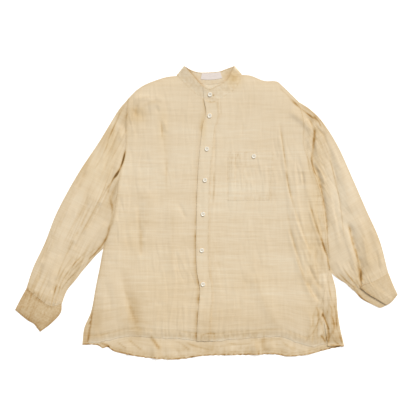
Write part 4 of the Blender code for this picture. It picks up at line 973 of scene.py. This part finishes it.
def pocket_warp(grid):
    """Moves the panel's grid so that the pocket's edges run along its lines."""
    c0, c1 = POCKET_COLUMNS
    r0, r1 = POCKET_ROWS
    corner = np.array(POCKET, dtype=float)
    u = np.linspace(0.0, 1.0, c1 - c0 + 1)[None, :, None]
    v = np.linspace(0.0, 1.0, r1 - r0 + 1)[:, None, None]
    aim = (1 - v) * ((1 - u) * corner[0] + u * corner[1])
    aim = aim + v * ((1 - u) * corner[3] + u * corner[2])
    move = aim - grid[r0 : r1 + 1, c0 : c1 + 1]
    count, width = grid.shape[:2]
    line = np.clip(np.arange(count), r0, r1) - r0
    column = np.clip(np.arange(width), c0, c1) - c0
    fade = rise_and_fall(count, r0, r1)[:, None] * rise_and_fall(width, c0, c1)[None, :]
    return grid + move[line][:, column] * fade[..., None]


def front_left():
    """Left front: the placket's strip, then from its seam to the side."""
    seam = PLACKET_RUNS[-1]
    hem = FRONT_HEM_LINE.run(FRONT_HEM_LINE.share_at_x(seam[0, 0]), 1.0, ACROSS)
    neck = NECK_LINE.run(NECK_LINE.share_at_x(seam[-1, 0]), 1.0, NECK_COLUMNS)
    shoulder = SHOULDER_L_LINE.run(0.0, 1.0, ACROSS - NECK_COLUMNS)
    grid = pocket_warp(coons(hem, np.vstack([neck[:-1], shoulder]), seam, FRONT_L_RUN))
    lift = STEP * (1.0 - smoothstep((grid[:, :, 0] - seam[:, None, 0]) / 30.0))
    strip = np.stack(PLACKET_RUNS[:-1], axis=1)
    lift = np.concatenate([np.full(strip.shape[:2], STEP), lift], axis=1)
    grid = flutter(np.concatenate([strip, grid], axis=1))
    return grid, under(grid) + lift


def hem_relief(grid):
    """The turned hem: its double cloth, the row of stitches and the puckers they draw in."""
    x, y = grid[..., 0], grid[..., 1]
    over = y - FRONT_HEM_LINE.y_at(x)
    from_line = over - HEM_WIDTH
    rise = 0.25 * (1.0 - smoothstep((from_line + 2.0) / 2.0))
    rise = rise - mark(from_line, 1.8, 0.5) - mark(over, 8.0, 0.7)
    return rise + mark(from_line + 4.0, 11.0, 0.9) * field(x / 6.5, y / 60.0, 91.0)


def back_plan():
    """The back's plane points, its tail's rows first, and the height of the tail's waves, which
    fade out where the front lies on it."""
    count = 3 * SHOULDER
    x = np.linspace(TAIL_FROM[0], TAIL_TO[0], count + 1)
    x[1:-1] += 6.0 * np.sin(np.linspace(0, math.pi, count - 1))
    line_y = hem_y(x) - TAIL_ABOVE
    line_y[[0, -1]] = BACK_R_RUN[0, 1], BACK_L_RUN[0, 1]
    bottom = np.stack([x, line_y], axis=-1)
    neck_x = np.interp(np.linspace(0, 8, SHOULDER + 1), np.arange(9), BACK_NECK_X)
    neck = BACK_NECK_LINE.at(BACK_NECK_LINE.share_at_x(neck_x))
    shoulders = [line.run(0.0, 1.0, SHOULDER) for line in (SHOULDER_R_LINE, SHOULDER_L_LINE)]
    top = np.vstack([shoulders[0][:-1], neck, shoulders[1][1:]])
    main = coons(bottom, top, BACK_R_RUN, BACK_L_RUN)
    hem_x = x.copy()
    hem_x[[0, -1]] = BACK_HEM[0][0], BACK_HEM[-1][0]
    ragged = 1.8 * field(hem_x / 7.0, 0.0, 15.0)
    hem = np.stack([hem_x, BACK_HEM_LINE.y_at(hem_x) + ragged], axis=-1)
    t = np.linspace(0.0, 1.0, TAIL, endpoint=False)[:, None, None]
    tail = (1 - t) * hem[None] + t * bottom[None]
    waves = sum(mark(tail[..., 0] - ripple.x, ripple.width, ripple.height) for ripple in RIPPLES)
    waves = waves + 0.9 * np.maximum(field(tail[..., 0] / 9.0, tail[..., 1] / 30.0, 17.0), 0.0)
    height = np.zeros((len(tail) + len(main), count + 1))
    height[:TAIL] = waves * smoothstep((bottom[None, :, 1] - tail[..., 1]) / 26.0)
    return np.vstack([tail, main]), height


def from_peak(grid):
    """Distance on the plan to the collar's right front edge."""
    return nearest(grid[..., :2].reshape(-1, 2), PEAK_RUN)[0].reshape(grid.shape[:-1])


def back_tone(inner):
    """The tail: painted shade along its edge, its hem's stitched line, painted light just below
    the front's hem against the real shadow there, and painted shadow beside the front's side edge.
    Inside the neck: painted shadow under the collar's free edge, and paler inside the back.
    """
    x, y = inner[..., 0], inner[..., 1]
    over = y - BACK_HEM_LINE.y_at(x)
    depth = (mark(over, 4.2, 0.5) + mark(over - TAIL_HEM, 1.4, 0.12)) * uneven(inner, 6.0, 19.0)
    depth = depth - mark(hem_y(x) - y, 3.2, 0.1) + mark(x + 316.0, 7.5, 0.2) * (y < -250.0)
    depth = depth + mark(from_peak(inner), 4.0, 0.25) * (y > 300.0)
    return depth - mark(x - 10.0, 30.0, 0.15) * (y > 312.0)


def back():
    """Back panel; left of the wearer it folds round the side onto the front."""
    grid, height = back_plan()
    side = grid[:, -1]
    vent = VENT_OPENING * np.clip((VENT_TOP - FRONT_L_RUN[:, 1]) / VENT_LENGTH, 0.0, 1.0)
    crooked = field(FRONT_L_RUN[:, 1] / 15.0, 0.0, 13.0)
    vent = vent * np.clip(0.5 + 1.5 * crooked, 0.0, 1.5)
    seam = FRONT_L_RUN + np.stack([GAP + vent, np.zeros(len(vent))], axis=-1)
    tail = seam[:1] + (side[:TAIL] - side[TAIL]) * np.array([0.2, 1.0])
    seam = np.vstack([tail, seam])
    wrapped = np.arange(len(grid)) <= TAIL + LOW
    inward = np.where(wrapped, -1.0, 0.0)[:, None] * np.array([1.0, 0.0])
    start = side + EDGE_WALL * inward
    strip = [(1 - p) * start + p * seam for p in np.linspace(0.0, 1.0, WRAP + 1)]
    strip = np.stack(strip, axis=1)
    wall = under(side[:, None])[:, 0]
    inner = [lifted(grid, height + CLOTH)]
    inner[0][:, -1, :2] += EDGE_WALL * inward
    for share in WALL_BEND:
        rise = CLOTH + share * (wall - CLOTH)
        inner.append(lifted(side + EDGE_BULGE * inward, rise)[:, None])
    inner = np.concatenate([*inner, lifted(strip, under(strip))], axis=1)
    keep = np.ones((len(grid) - 1, inner.shape[1] - 1), dtype=bool)
    keep[TAIL + LOW :, grid.shape[1] - 1 :] = False
    sheet("back", inner, -1, keep=keep, tone=back_tone(inner))
    return grid, height


def tube(name, plan, height, turn, tone):
    """A flattened tube: plan's rows run along it, its columns from fold to fold."""
    inward = np.zeros(plan.shape)
    inward[:, 0] = plan[:, 1] - plan[:, 0]
    inward[:, -1] = plan[:, -2] - plan[:, -1]
    inward[:, [0, -1]] /= length_of(inward[:, [0, -1]])[..., None]
    folded = plan + EDGE_WALL * inward
    bulge = plan + EDGE_BULGE * inward

    def wall(column, shares):
        rises = [CLOTH + share * (height[:, column] - CLOTH) for share in shares]
        return [lifted(bulge[:, column], rise)[:, None] for rise in rises]

    low = lifted(folded, np.full(height.shape, CLOTH))
    high = lifted(folded, height)[:, ::-1]
    around = [low, *wall(-1, WALL_BEND), high, *wall(0, WALL_BEND[::-1]), low[:, :1]]
    inner = np.concatenate(around, axis=1)
    sheet(name, inner, -1, turn=turn, wrap=True, tone=tone(inner), weave=0.65)


def gather_height(plan, gathers, fullness):
    """Short pleats that rise just above the cuff's seam, fewer towards the inner fold where the
    sleeve isn't full."""
    to_seam = length_of(plan[-1:] - plan)
    columns = plan.shape[1]
    across = np.linspace(0.0, 1.0, columns)[None, :]
    rise = np.zeros(plan.shape[:-1])
    for gather in gathers:
        fade = smoothstep(to_seam / 9.0) * (1.0 - smoothstep(to_seam / gather.length))
        rise += mark(across - gather.at, 0.035, gather.height) * fade
    fine = field(np.linspace(0.0, 22.0, columns), 0.0, 4.4)[None, :]
    rise += 1.3 * fine * smoothstep(to_seam / 4.0) * (1.0 - smoothstep(to_seam / 38.0))
    return rise * (1.0 - (1.0 - fullness) * smoothstep(across / 0.6))


def from_fold(line, at_fold, beyond):
    """A value at a cuff's inner fold that passes into another past the middle of its seam."""
    reach = length_of(line[:, :2] - line[0, :2])
    outer = smoothstep(reach / (0.6 * reach.max()))
    return at_fold * (1.0 - outer) + beyond * outer


def gathered_tone(inner, fullness):
    """Painted shade in the bunched cloth just above a cuff's seam, varying from pleat to pleat."""
    to_seam = length_of(inner[-1:, :, :2] - inner[..., :2])
    pleats = field(np.arange(inner.shape[1]) / 3.2, 0.0, 79.0)[None, :]
    fade = from_fold(inner[-1], 1.3 - fullness, fullness)
    return (0.14 + 0.25 * pleats) * fade * mark(to_seam, 16.0) * uneven(inner, 12.0, 77.0)


def sleeve(name, armhole, aside, lines, seam, gathers, turn, fullness):
    """A sleeve from its armhole to its cuff's seam; its lines are the outer and inner folds."""
    start = armhole + np.array([aside, 0.0])
    outer, inner = (line.run(0.0, 1.0, SLEEVE) for line in lines)
    inner[0] = start[0]
    outer[0] = start[-1]
    plan = coons(start, seam.run(0.0, 1.0, len(start) - 1), inner, outer)
    near = 1.0 - smoothstep(length_of(plan[-1:] - plan) / 18.0)
    rough = 1.2 if turn < 0.0 else 0.85
    height = (1.0 - near) * under(plan, turn, rough) + near * under(plan, turn, 0.7)
    height = np.maximum(height + gather_height(plan, gathers, fullness), STEP)
    tube(name, plan, height, turn, lambda whole: gathered_tone(whole, fullness))


def cuff_plan(seam, end, sides):
    """A cuff's plane points, a hair off its sleeve."""
    side, outer = (line.run(0.0, 1.0, CUFF) for line in sides)
    plan = coons(seam.run(0.0, 1.0, HIGH), end.run(0.0, 1.0, HIGH), side, outer)
    way = plan[1] - plan[0]
    plan[0] += CUFF_GAP * way / length_of(way)[:, None]
    return plan


def cuff_tone(plan):
    """Cuff: two layers and a stiffener, mottled, with stitched edges and a puckered seam."""
    down = np.linspace(0.0, CUFF_DEEP, len(plan))[:, None]
    x, y = plan[..., 0], plan[..., 1]
    cloudy = field(x / 4.5, y / 4.5, 57.0) + 0.4 * field(x / 14.0, y / 14.0, 59.0)
    seam = (mark(down - 3.0, 1.6, 0.05) + mark(down, 2.4, 0.04)) * from_fold(plan[0], 0.2, 1.0)
    edges = seam + mark(down - CUFF_DEEP + 2.5, 1.5, 0.1)
    return 0.215 + 0.12 * cloudy + edges * uneven(plan, 6.0, 61.0)


def cuff_right():
    """Right cuff: a flattened band."""
    plan = cuff_plan(CUFF_R_SEAM, CUFF_R_END, CUFF_R_SIDES)
    height = under(plan, SLEEVE_R_TURN, 0.7)
    tube("cuff_right", plan, height, SLEEVE_R_TURN, cuff_tone)
    return plan, height


def cuff_left():
    """Left cuff: an open band whose upper end laps over the end below it."""
    plan = cuff_plan(CUFF_L_SEAM, CUFF_L_END, CUFF_L_SIDES)
    lines = CUFF + 1
    lap = np.linspace(CUFF_LAP_SEAM, CUFF_LAP_END, lines)
    beneath = lap + CUFF_LAP_UNDER
    cells = 12 * FINE + 1
    lap_cells = 5 * FINE + 1

    def pick(line, shares):
        index = shares * HIGH
        spots = [np.interp(index, np.arange(HIGH + 1), plan[line, :, way]) for way in (0, 1)]
        return np.stack(spots, axis=-1)

    tops = np.stack([np.linspace(share, 1.0, cells) for share in lap])
    top_plan = np.stack([pick(line, tops[line]) for line in range(lines)])
    rise = under(top_plan, SLEEVE_L_TURN, 0.7)
    rise += (STEP + 0.4) * (1.0 - smoothstep((tops - beneath[:, None] - 0.03) / 0.14))
    bend = np.array(WALL_BEND[::-1])
    inner = []
    for line in range(lines):
        wall = EDGE_WALL / length_of(plan[line, -1] - plan[line, 0])
        around = (
            (tops[line], rise[line], wall),
            (np.ones(2), CLOTH + bend * (rise[line, -1] - CLOTH), 0.6 * wall),
            (np.linspace(1.0, 0.0, cells), np.full(cells, CLOTH), wall),
            (np.zeros(2), CLOTH + bend[::-1] * (STEP - CLOTH), 0.6 * wall),
            (np.linspace(0.0, beneath[line], lap_cells), np.full(lap_cells, STEP), wall),
        )
        runs = [lifted(pick(line, np.clip(at, edge, 1.0 - edge)), z) for at, z, edge in around]
        inner.append(np.vstack(runs))
    inner = np.stack(inner)
    from_lap = np.linspace(0.0, 240.0, inner.shape[1])[None, :]
    # Paler than the right cuff, with painted shade along the lapped end's edge.
    tone = 0.6 * cuff_tone(inner) - 0.02 + mark(from_lap - 2.0, 2.0, 0.12)
    sheet("cuff_left", inner, 1, turn=SLEEVE_L_TURN, tone=tone, weave=0.65)
    return top_plan, rise


def collar(right_sheet, left_sheet, back_grid):
    """The band: right end, right side, back, left side, and the left end lapped over. Gives its
    points and its back's columns."""
    base_r = right_sheet[-1, ACROSS - NECK_COLUMNS : ACROSS + STRIP + 1][::-1]
    base_l = left_sheet[-1, : NECK_COLUMNS + STRIP + 1][::-1]
    base_b = back_grid[-1, SHOULDER : 2 * SHOULDER + 1]
    lap = Line(EDGE_LAP).run(0.0, 1.0, STRIP)
    free_r = Line(EDGE_RIGHT).run(0.0, 0.95, NECK_COLUMNS)
    free_l = Line(EDGE_LEFT).run(0.0, 0.95, NECK_COLUMNS)
    span = (base_b[:, 0] - base_b[0, 0]) / (base_b[-1, 0] - base_b[0, 0])
    free_b = Line(EDGE_BACK).at(0.02 + 0.96 * span)
    corners = base_b[:1] + (-1.2, 0.5), base_b[-1:] + (1.2, 0.5)
    base = np.vstack([base_r[:, :2], corners[0], base_b, corners[1], base_l[:, :2]])
    free = [lap[::-1], free_r[1:], EDGE_BACK[:1], free_b, EDGE_BACK[-1:], free_l[::-1]]
    free = np.vstack([*free, lap[:-1][::-1]])
    low = np.full(len(base_b), CLOTH)
    corner_z = [0.5 * base_r[-1, 2] + 0.4], [0.5 * base_l[0, 2] + 0.4]
    base_z = np.concatenate([base_r[:, 2], corner_z[0], low, corner_z[1], base_l[:, 2]])
    start = len(base_r)
    end = start + len(base_b) + 1
    at_r = np.arange(start) / FINE
    at_l = (np.arange(len(base_l)) - len(base_l)) / FINE
    stand_r = COLLAR_RISE - 1.6 * smoothstep((2.5 - at_r) / 2.5)
    stand_l = COLLAR_RISE + 0.8 * smoothstep((at_l + 4.0) / 3.0)
    middle = [0.5 * COLLAR_RISE + 0.4]
    free_z = np.concatenate([stand_r, middle, low, middle, stand_l])
    way = free - base
    away = np.full(len(base), COLLAR_GAP)
    for corner in (start, end):
        away[corner - 1 : corner + 2] = 1.2
    base = base + (away / length_of(way))[:, None] * way
    cells = COLLAR_FINE * (len(COLLAR_ROWS) - 1)
    up = np.interp(np.linspace(0, 5, cells + 1), np.arange(6), COLLAR_ROWS)[:, None]
    plan = (1 - up[..., None]) * base[None] + up[..., None] * free[None]
    climb = smoothstep((up - 0.1) / 0.9)
    height = (1 - climb) * base_z[None] + climb * free_z[None]
    soft = field(plan[..., 0] / 13.0, plan[..., 1] / 13.0, 61.0)
    height = height + 0.5 * soft * smoothstep(up / 0.2) * (free_z > 2.0)
    return lifted(plan, height), slice(start + 1, end)


def on_sheet(top, lines, columns):
    """Points of a sheet's upper face at rows and columns that may lie between two."""
    lines, columns = np.broadcast_arrays(lines, columns)
    r = np.clip(np.floor(lines).astype(int), 0, top.shape[0] - 2)
    c = np.clip(np.floor(columns).astype(int), 0, top.shape[1] - 2)
    a = (lines - r)[:, None]
    b = (columns - c)[:, None]
    low = (1 - b) * top[r, c] + b * top[r, c + 1]
    high = (1 - b) * top[r + 1, c] + b * top[r + 1, c + 1]
    return (1 - a) * low + a * high


def add_stitch(mesh, spot, way, long, thick=0.28):
    """One stitch, a small lozenge lying along its way and half sunk in the cloth."""
    turn = Vector(way).to_track_quat("X", "Z").to_matrix().to_4x4()
    size = Matrix.Diagonal((0.5 * long * MM, thick * MM, 0.8 * thick * MM, 1.0))
    place = Matrix.Translation(Vector(spot) * MM) @ turn @ size
    bmesh.ops.create_icosphere(mesh, subdivisions=1, radius=1.0, matrix=place)


def sew(name, runs):
    """Rows of machine stitches along runs of points."""
    mesh = bmesh.new()
    for run in runs:
        along = along_run(run)
        places = np.arange(0.5 * STITCH, along[-1], STITCH)
        for place in places:
            before, spot, after = (
                np.array([np.interp(place + step, along, way) for way in run.T])
                for step in (-0.8, 0.0, 0.8)
            )
            add_stitch(mesh, spot, after - before, STITCH_LONG)
    place_piece(name, mesh, THREAD)


def button(spec, top):
    """A dished button with a rim and four holes. Gives the height of its back."""
    points = top.reshape(-1, 3)
    near = np.hypot(points[:, 0] - spec.x, points[:, 1] - spec.y) < BUTTON_RADIUS
    base = float(np.percentile(points[near, 2], 85)) + 0.15
    mesh = bmesh.new()
    verts = [mesh.verts.new((r * MM, 0.0, z * MM)) for r, z in BUTTON_PROFILE]
    edges = [mesh.edges.new(pair) for pair in zip(verts, verts[1:])]
    bmesh.ops.spin(
        mesh, geom=verts + edges, cent=(0.0, 0.0, 0.0), axis=(0.0, 0.0, 1.0),
        angle=2 * math.pi, steps=36, use_merge=True,
    )
    bmesh.ops.remove_doubles(mesh, verts=mesh.verts, dist=1e-6)
    rim = [edge for edge in mesh.edges if edge.is_boundary]
    holes = []
    for turn in range(4):
        angle = math.radians(45 + 90 * turn)
        spot = Vector((math.cos(angle), math.sin(angle), 0.0)) * BUTTON_HOLE_AT * MM
        spot.z = BUTTON_PROFILE[-1][1] * MM
        place = Matrix.Translation(spot)
        ring = bmesh.ops.create_circle(mesh, segments=12, radius=BUTTON_HOLE * MM, matrix=place)
        holes += list({edge for vert in ring["verts"] for edge in vert.link_edges})
    bmesh.ops.triangle_fill(mesh, use_beauty=True, edges=rim + holes)
    sunk = bmesh.ops.extrude_edge_only(mesh, edges=holes)["geom"]
    down = [item for item in sunk if isinstance(item, bmesh.types.BMVert)]
    floors = [item for item in sunk if isinstance(item, bmesh.types.BMEdge)]
    bmesh.ops.translate(mesh, verts=down, vec=(0.0, 0.0, -BUTTON_HOLE_DEEP * MM))
    bmesh.ops.holes_fill(mesh, edges=floors)
    bmesh.ops.recalc_face_normals(mesh, faces=mesh.faces)
    bmesh.ops.translate(mesh, verts=mesh.verts, vec=(spec.x * MM, spec.y * MM, base * MM))
    place_piece(f"{spec.name}_pearl", mesh, PEARL, node=spec.name)
    return base


def button_threads(bases):
    """The thread that holds each button, two bars between its holes."""
    mesh = bmesh.new()
    for spec, base in zip(BUTTONS, bases):
        for side in (-0.7, 0.7):
            spot = (spec.x + side * BUTTON_HOLE_AT, spec.y, base + BUTTON_PROFILE[-1][1] + 0.25)
            add_stitch(mesh, spot, (0.0, 1.0, 0.0), 3.1, 0.42)
    place_piece("button_threads", mesh, THREAD)


def buttonholes(tops):
    """Buttonholes bound with close stitches: across on the collar, upright below it."""
    mesh = bmesh.new()
    for spec, top in zip(BUTTONS, tops):
        points = top.reshape(-1, 3)
        way = np.array([1.0, 0.0]) if spec.on == "collar" else np.array([0.0, 1.0])
        side = np.array([-way[1], way[0]])
        for step in np.arange(-BUTTONHOLE_HALF, BUTTONHOLE_HALF + 0.1, 1.0):
            for hand in (-0.9, 0.9):
                flat = np.array([spec.x, spec.y]) + step * way + hand * side
                closest = np.argmin(length_of(points[:, :2] - flat))
                add_stitch(mesh, (*flat, points[closest, 2] + 0.05), (*side, 0.0), 1.5, 0.26)
    place_piece("buttonholes", mesh, THREAD)


def weave_of(grid):
    """How strongly a front's threads show: worn smooth over the chest, plainest low down."""
    heights = [-340.0, -180.0, 60.0, 170.0, 290.0]
    return np.interp(grid[..., 1], heights, [1.06, 1.02, 0.96, 0.78, 0.6])


def hem_tone(grid):
    """The hem's second layer and its stitched line, and painted light along its edge against the
    shade where it falls onto the tail.
    """
    over = grid[..., 1] - FRONT_HEM_LINE.y_at(grid[..., 0])
    double = 0.02 * (1.0 - smoothstep((over - HEM_WIDTH + 1.0) / 2.0))
    # Painted light along the hem's edge.
    wear_and_painted_light = mark(over, 9.0, 0.12) + mark(over, 2.4, 0.08)
    return double - wear_and_painted_light + mark(over - HEM_WIDTH, 1.6, 0.13) * uneven(grid, 10.0, 83.0)


def right_tone(grid):
    """Right front: the placket's painted shade, painted light right at the placket's edge where
    its real shadow falls, the hem and the armhole's seam.
    """
    to_placket = np.maximum(PLACKET_RUNS[0][:, None, 0] - grid[..., 0], 0.0)
    width = np.interp(grid[..., 1], *zip(*SHADE_WIDTH))
    depth = np.interp(grid[..., 1], *zip(*SHADE_DEPTH))
    shade = mark(to_placket, width, depth) * uneven(grid, 26.0, 33.0)
    # A wider painted shade, less painted light right at the edge.
    shade += mark(to_placket, 10.0, 0.08) - mark(to_placket, 2.8, 0.12)
    return shade + hem_tone(grid) + mark(grid[..., 0] - grid[:, :1, 0] - 2.0, 1.4, 0.12)


def left_tone(grid):
    """Left front: the placket's seam, the hem and the armhole's seam."""
    from_seam = grid[..., 0] - PLACKET_RUNS[-1][:, None, 0]
    armhole = mark(grid[:, -1:, 0] - grid[..., 0] - 2.0, 1.4, 0.16) * (grid[..., 1] > ARMPIT_L)
    return mark(from_seam - 0.8, 1.5, 0.09) * uneven(grid, 14.0, 35.0) + hem_tone(grid) + armhole


def placket_tone(grid):
    """Placket: its two rows of stitches and its seam."""
    across = np.linspace(0.0, PLACKET_WIDTH, STRIP + 1)[None, :]
    first, second = PLACKET_STITCHES
    lines = mark(across - first, 1.3, 0.1) + mark(across - second, 1.3, 0.12)
    return lines * uneven(grid, 9.0, 37.0) + mark(across - PLACKET_WIDTH, 1.0, 0.06) - 0.02


def pocket_tone(grid):
    """Pocket: doubled edges, the mouth's wide hem, a limp bottom, and painted shade in its
    crinkles.
    """
    lines, columns = grid.shape[:2]
    v = np.linspace(0.0, POCKET_TALL, lines)[:, None]
    u = np.linspace(0.0, POCKET_WIDE, columns)[None, :]
    seams = mark(u, 2.4, 0.07) + mark(u - 4.0, 1.5, 0.06) + mark(u - POCKET_WIDE + 2.0, 3.0, 0.07)
    seams = seams + mark(v - 2.0, 3.0, 0.035)
    seams = seams + mark(v - 8.0, 4.0, 0.05) * smoothstep((u - 60.0) / 40.0)
    mouth = mark(v - POCKET_TALL, 1.6, 0.1) + mark(v - POCKET_TALL + POCKET_HEM, 1.4, 0.06)
    # Painted shade in fine crinkles.
    crinkle = mark(field(grid[..., 0] / 6.0, grid[..., 1] / 90.0, 29.0), 0.15, 0.16)
    much = (0.3 + 0.7 * smoothstep((v - 76.0) / 26.0)) * (1.0 - smoothstep((u - 25.0) / 55.0))
    loose = seams + mouth + crinkle * much + mark(v - 6.0, 9.0, 0.02)
    double = 0.02 * smoothstep((v - POCKET_TALL + POCKET_HEM + 2.0) / 3.0)
    return loose * uneven(grid, 7.0, 87.0) - 0.05 + double


def collar_tone(grid, behind):
    """The band's stitched edges, and the shade inside its back near both peaks."""
    count, columns = grid.shape[:2]
    up = BAND_HIGH * np.interp(np.linspace(0, 5, count), np.arange(6), COLLAR_ROWS)[:, None]
    loose = uneven(grid, 9.0, 41.0)
    cloudy = field(grid[..., 0] / 6.0, grid[..., 1] / 6.0, 97.0)
    depth = (mark(up - 2.4, 1.5, 0.04) + mark(up - BAND_HIGH + 2.0, 1.3, 0.06)) * loose
    depth = depth + 0.12 * cloudy
    t = (np.arange(columns) - behind.start)[None, :] / (behind.stop - behind.start - 1)
    peaks = mark(t, 0.1, 0.34) + mark(t - 0.92, 0.09, 0.1) + mark(t - 1.0, 0.03, 0.1)
    inside = peaks * np.clip(loose, 0.6, 1.3) + mark(from_peak(grid), 4.5, 0.3)
    inside = inside + mark(up - BAND_HIGH + 0.5, 2.0, 0.12) - mark(up, 5.0, 0.1)
    left_end = mark(up - BAND_HIGH, 2.0, 0.1) * (t > 1.0)
    return depth + inside * ((t >= 0.0) & (t <= 1.0)) + left_end


def place_where(distance, at):
    """The row of each column where a distance reaches the given one."""
    lines = np.arange(len(distance))
    return np.array([np.interp(at, column, lines) for column in distance.T])


def hem_run(top, line, width):
    """Where a hem's stitches lie on a panel."""
    over = top[..., 1] - line.y_at(top[..., 0])
    return on_sheet(top, place_where(over, width), np.arange(top.shape[1]))


def across_rows(top, shares):
    """Runs across a sheet at shares of its height."""
    columns = np.arange(top.shape[1])
    return [on_sheet(top, (len(top) - 1) * share, columns) for share in shares]


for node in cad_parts.values():
    node.data.materials.clear()
    node.data.materials.append(LINEN)

back_grid, back_height = back()
right_grid, right_height = front_right()
left_grid, left_height = front_left()
right_sheet = lifted(right_grid, np.maximum(right_height + hem_relief(right_grid), ON_TAIL))
left_sheet = lifted(left_grid, np.maximum(left_height + hem_relief(left_grid), ON_TAIL))
sheet("front_right", right_sheet, 1, tone=right_tone(right_grid), weave=weave_of(right_grid))
sheet("front_left", left_sheet, 1, tone=left_tone(left_grid), weave=weave_of(left_grid))

left_top = top_face(left_sheet)
on_panel = np.array([0.0, 0.0, SEWN_ON])
placket_sheet = left_top[:, : STRIP + 1] + on_panel
sheet(
    "placket", placket_sheet, 1, tone=placket_tone(placket_sheet), weave=weave_of(placket_sheet)
)
pocket_cells = [slice(first, last + 1) for first, last in (POCKET_ROWS, POCKET_COLUMNS)]
pocket_sheet = left_top[:, STRIP:][tuple(pocket_cells)] + on_panel
limp = field(pocket_sheet[0, :, 0] / 7.0, 0.0, 63.0)
pocket_sheet[:3, :, 1] += 1.6 * limp * np.array([1.0, 0.6, 0.25])[:, None]
sheet("pocket", pocket_sheet, 1, thick=POCKET_CLOTH, tone=pocket_tone(pocket_sheet))

armhole_r = BACK_R_RUN[LOW:]
armhole_l = FRONT_L_RUN[LOW:].copy()
armhole_l[0] = SLEEVE_L[0][2:]
folds_r = SLEEVE_R_OUT, SLEEVE_R_IN
folds_l = SLEEVE_L_OUT, SLEEVE_L_IN
sleeve("sleeve_right", armhole_r, -GAP, folds_r, CUFF_R_SEAM, GATHERS_R, SLEEVE_R_TURN, 1.0)
sleeve("sleeve_left", armhole_l, GAP, folds_l, CUFF_L_SEAM, GATHERS_L, SLEEVE_L_TURN, 0.2)
cuff_r_top = top_face(lifted(*cuff_right()))
cuff_l_top = top_face(lifted(*cuff_left()))

collar_sheet, behind = collar(right_sheet, left_sheet, back_grid)
sheet("collar", collar_sheet, 1, tone=collar_tone(collar_sheet, behind))
first, last = LABEL_COLUMNS
label_sheet = collar_sheet[2 * COLLAR_FINE : 4 * COLLAR_FINE + 1, behind][:, first : last + 1]
sheet("neck_label", label_sheet + on_panel, 1, TAPE, thick=LABEL)

collar_top = top_face(collar_sheet)
placket_top = top_face(placket_sheet)
pocket_top = top_face(pocket_sheet, POCKET_CLOTH)
right_top = top_face(right_sheet)
tops = {"collar": collar_top, "placket": placket_top, "pocket": pocket_top}
button_tops = [tops[spec.on] for spec in BUTTONS]
button_threads([button(spec, top) for spec, top in zip(BUTTONS, button_tops)])
buttonholes(button_tops)

panel_r = right_top[:, : ACROSS + 1]
panel_l = left_top[:, STRIP:]
tail_top = lifted(back_grid, back_height + CLOTH)[: TAIL + 1]
hems = (panel_r, FRONT_HEM_LINE, HEM_WIDTH), (panel_l, FRONT_HEM_LINE, HEM_WIDTH)
sew("hem_stitches", [hem_run(*hem) for hem in (*hems, (tail_top, BACK_HEM_LINE, TAIL_HEM))])
upward = np.arange(LOW + HIGH + 1)
down_placket = [STRIP * at / PLACKET_WIDTH for at in PLACKET_STITCHES]
sew("placket_stitches", [on_sheet(placket_top, upward, column) for column in down_placket])
above = slice(LOW + 1, None)
inset_r = (panel_r[..., 0] - panel_r[:, :1, 0])[above]
inset_l = (panel_l[:, -1:, 0] - panel_l[..., 0])[above, ::-1]
armhole_lines = [
    on_sheet(panel_r, upward[above], place_where(inset_r.T, 5.0)),
    on_sheet(panel_l, upward[above], ACROSS - place_where(inset_l.T, 5.0)),
]
sew("armhole_stitches", armhole_lines)
last_column = pocket_top.shape[1] - 1
down_side = np.arange(len(pocket_top))
sides = [on_sheet(pocket_top, down_side, last_column * share) for share in (0.034, 0.966)]
sew("pocket_stitches", sides + across_rows(pocket_top, (0.012, 0.858)))
sew("collar_stitches", across_rows(collar_top, (0.105, 0.8)))
sew("cuff_right_stitches", across_rows(cuff_r_top, (0.05, 0.96)))
sew("cuff_left_stitches", across_rows(cuff_l_top, (0.05, 0.96)))

# A sheet of paper to lie on, one soft lamp and an even sky.
floor_mesh = bmesh.new()
bmesh.ops.create_grid(floor_mesh, x_segments=1, y_segments=1, size=FLOOR_SIZE)
floor_data = bpy.data.meshes.new("floor")
floor_mesh.to_mesh(floor_data)
floor_mesh.free()
floor = bpy.data.objects.new("floor", floor_data)
bpy.context.scene.collection.objects.link(floor)
floor.location.z = -0.0002
white, white_tree, white_shader = surface("matt_white_paper")
paper = {"Base Color": linear("#fafafa"), "Roughness": 0.9, "Specular IOR Level": 0.1}
glow = {"Emission Color": (1.0, 1.0, 1.0, 1.0), "Emission Strength": 0.35}
feed(white_tree, white_shader, {**paper, **glow})
floor_data.materials.append(white)

lamp_data = bpy.data.lights.new("key", "SUN")
lamp_data.angle = math.radians(28.0)
lamp_data.energy = 2.35
lamp = bpy.data.objects.new("key", lamp_data)
bpy.context.scene.collection.objects.link(lamp)
lamp.location = (0.5, 0.95, 0.95)
lamp.rotation_euler = lamp.location.to_track_quat("Z", "Y").to_euler()

world = bpy.data.worlds.new("studio")
bpy.context.scene.world = world
world.use_nodes = True
sky = world.node_tree.nodes["Background"]
feed(world.node_tree, sky, {"Color": (1.0, 0.99, 0.975, 1.0), "Strength": 0.42})

# The camera looks straight down on the whole shirt; VIEW_WIDTH is what it sees across.
camera_data = bpy.data.cameras.new("camera")
camera_data.lens = CAMERA_LENS
camera_data.sensor_width = CAMERA_SENSOR
camera = bpy.data.objects.new("camera", camera_data)
bpy.context.scene.collection.objects.link(camera)
camera.location = (0.0039, 0.0117, VIEW_WIDTH * CAMERA_LENS / CAMERA_SENSOR)
bpy.context.scene.camera = camera
bpy.context.scene.view_settings.view_transform = "Standard"

bpy.context.view_layer.update()
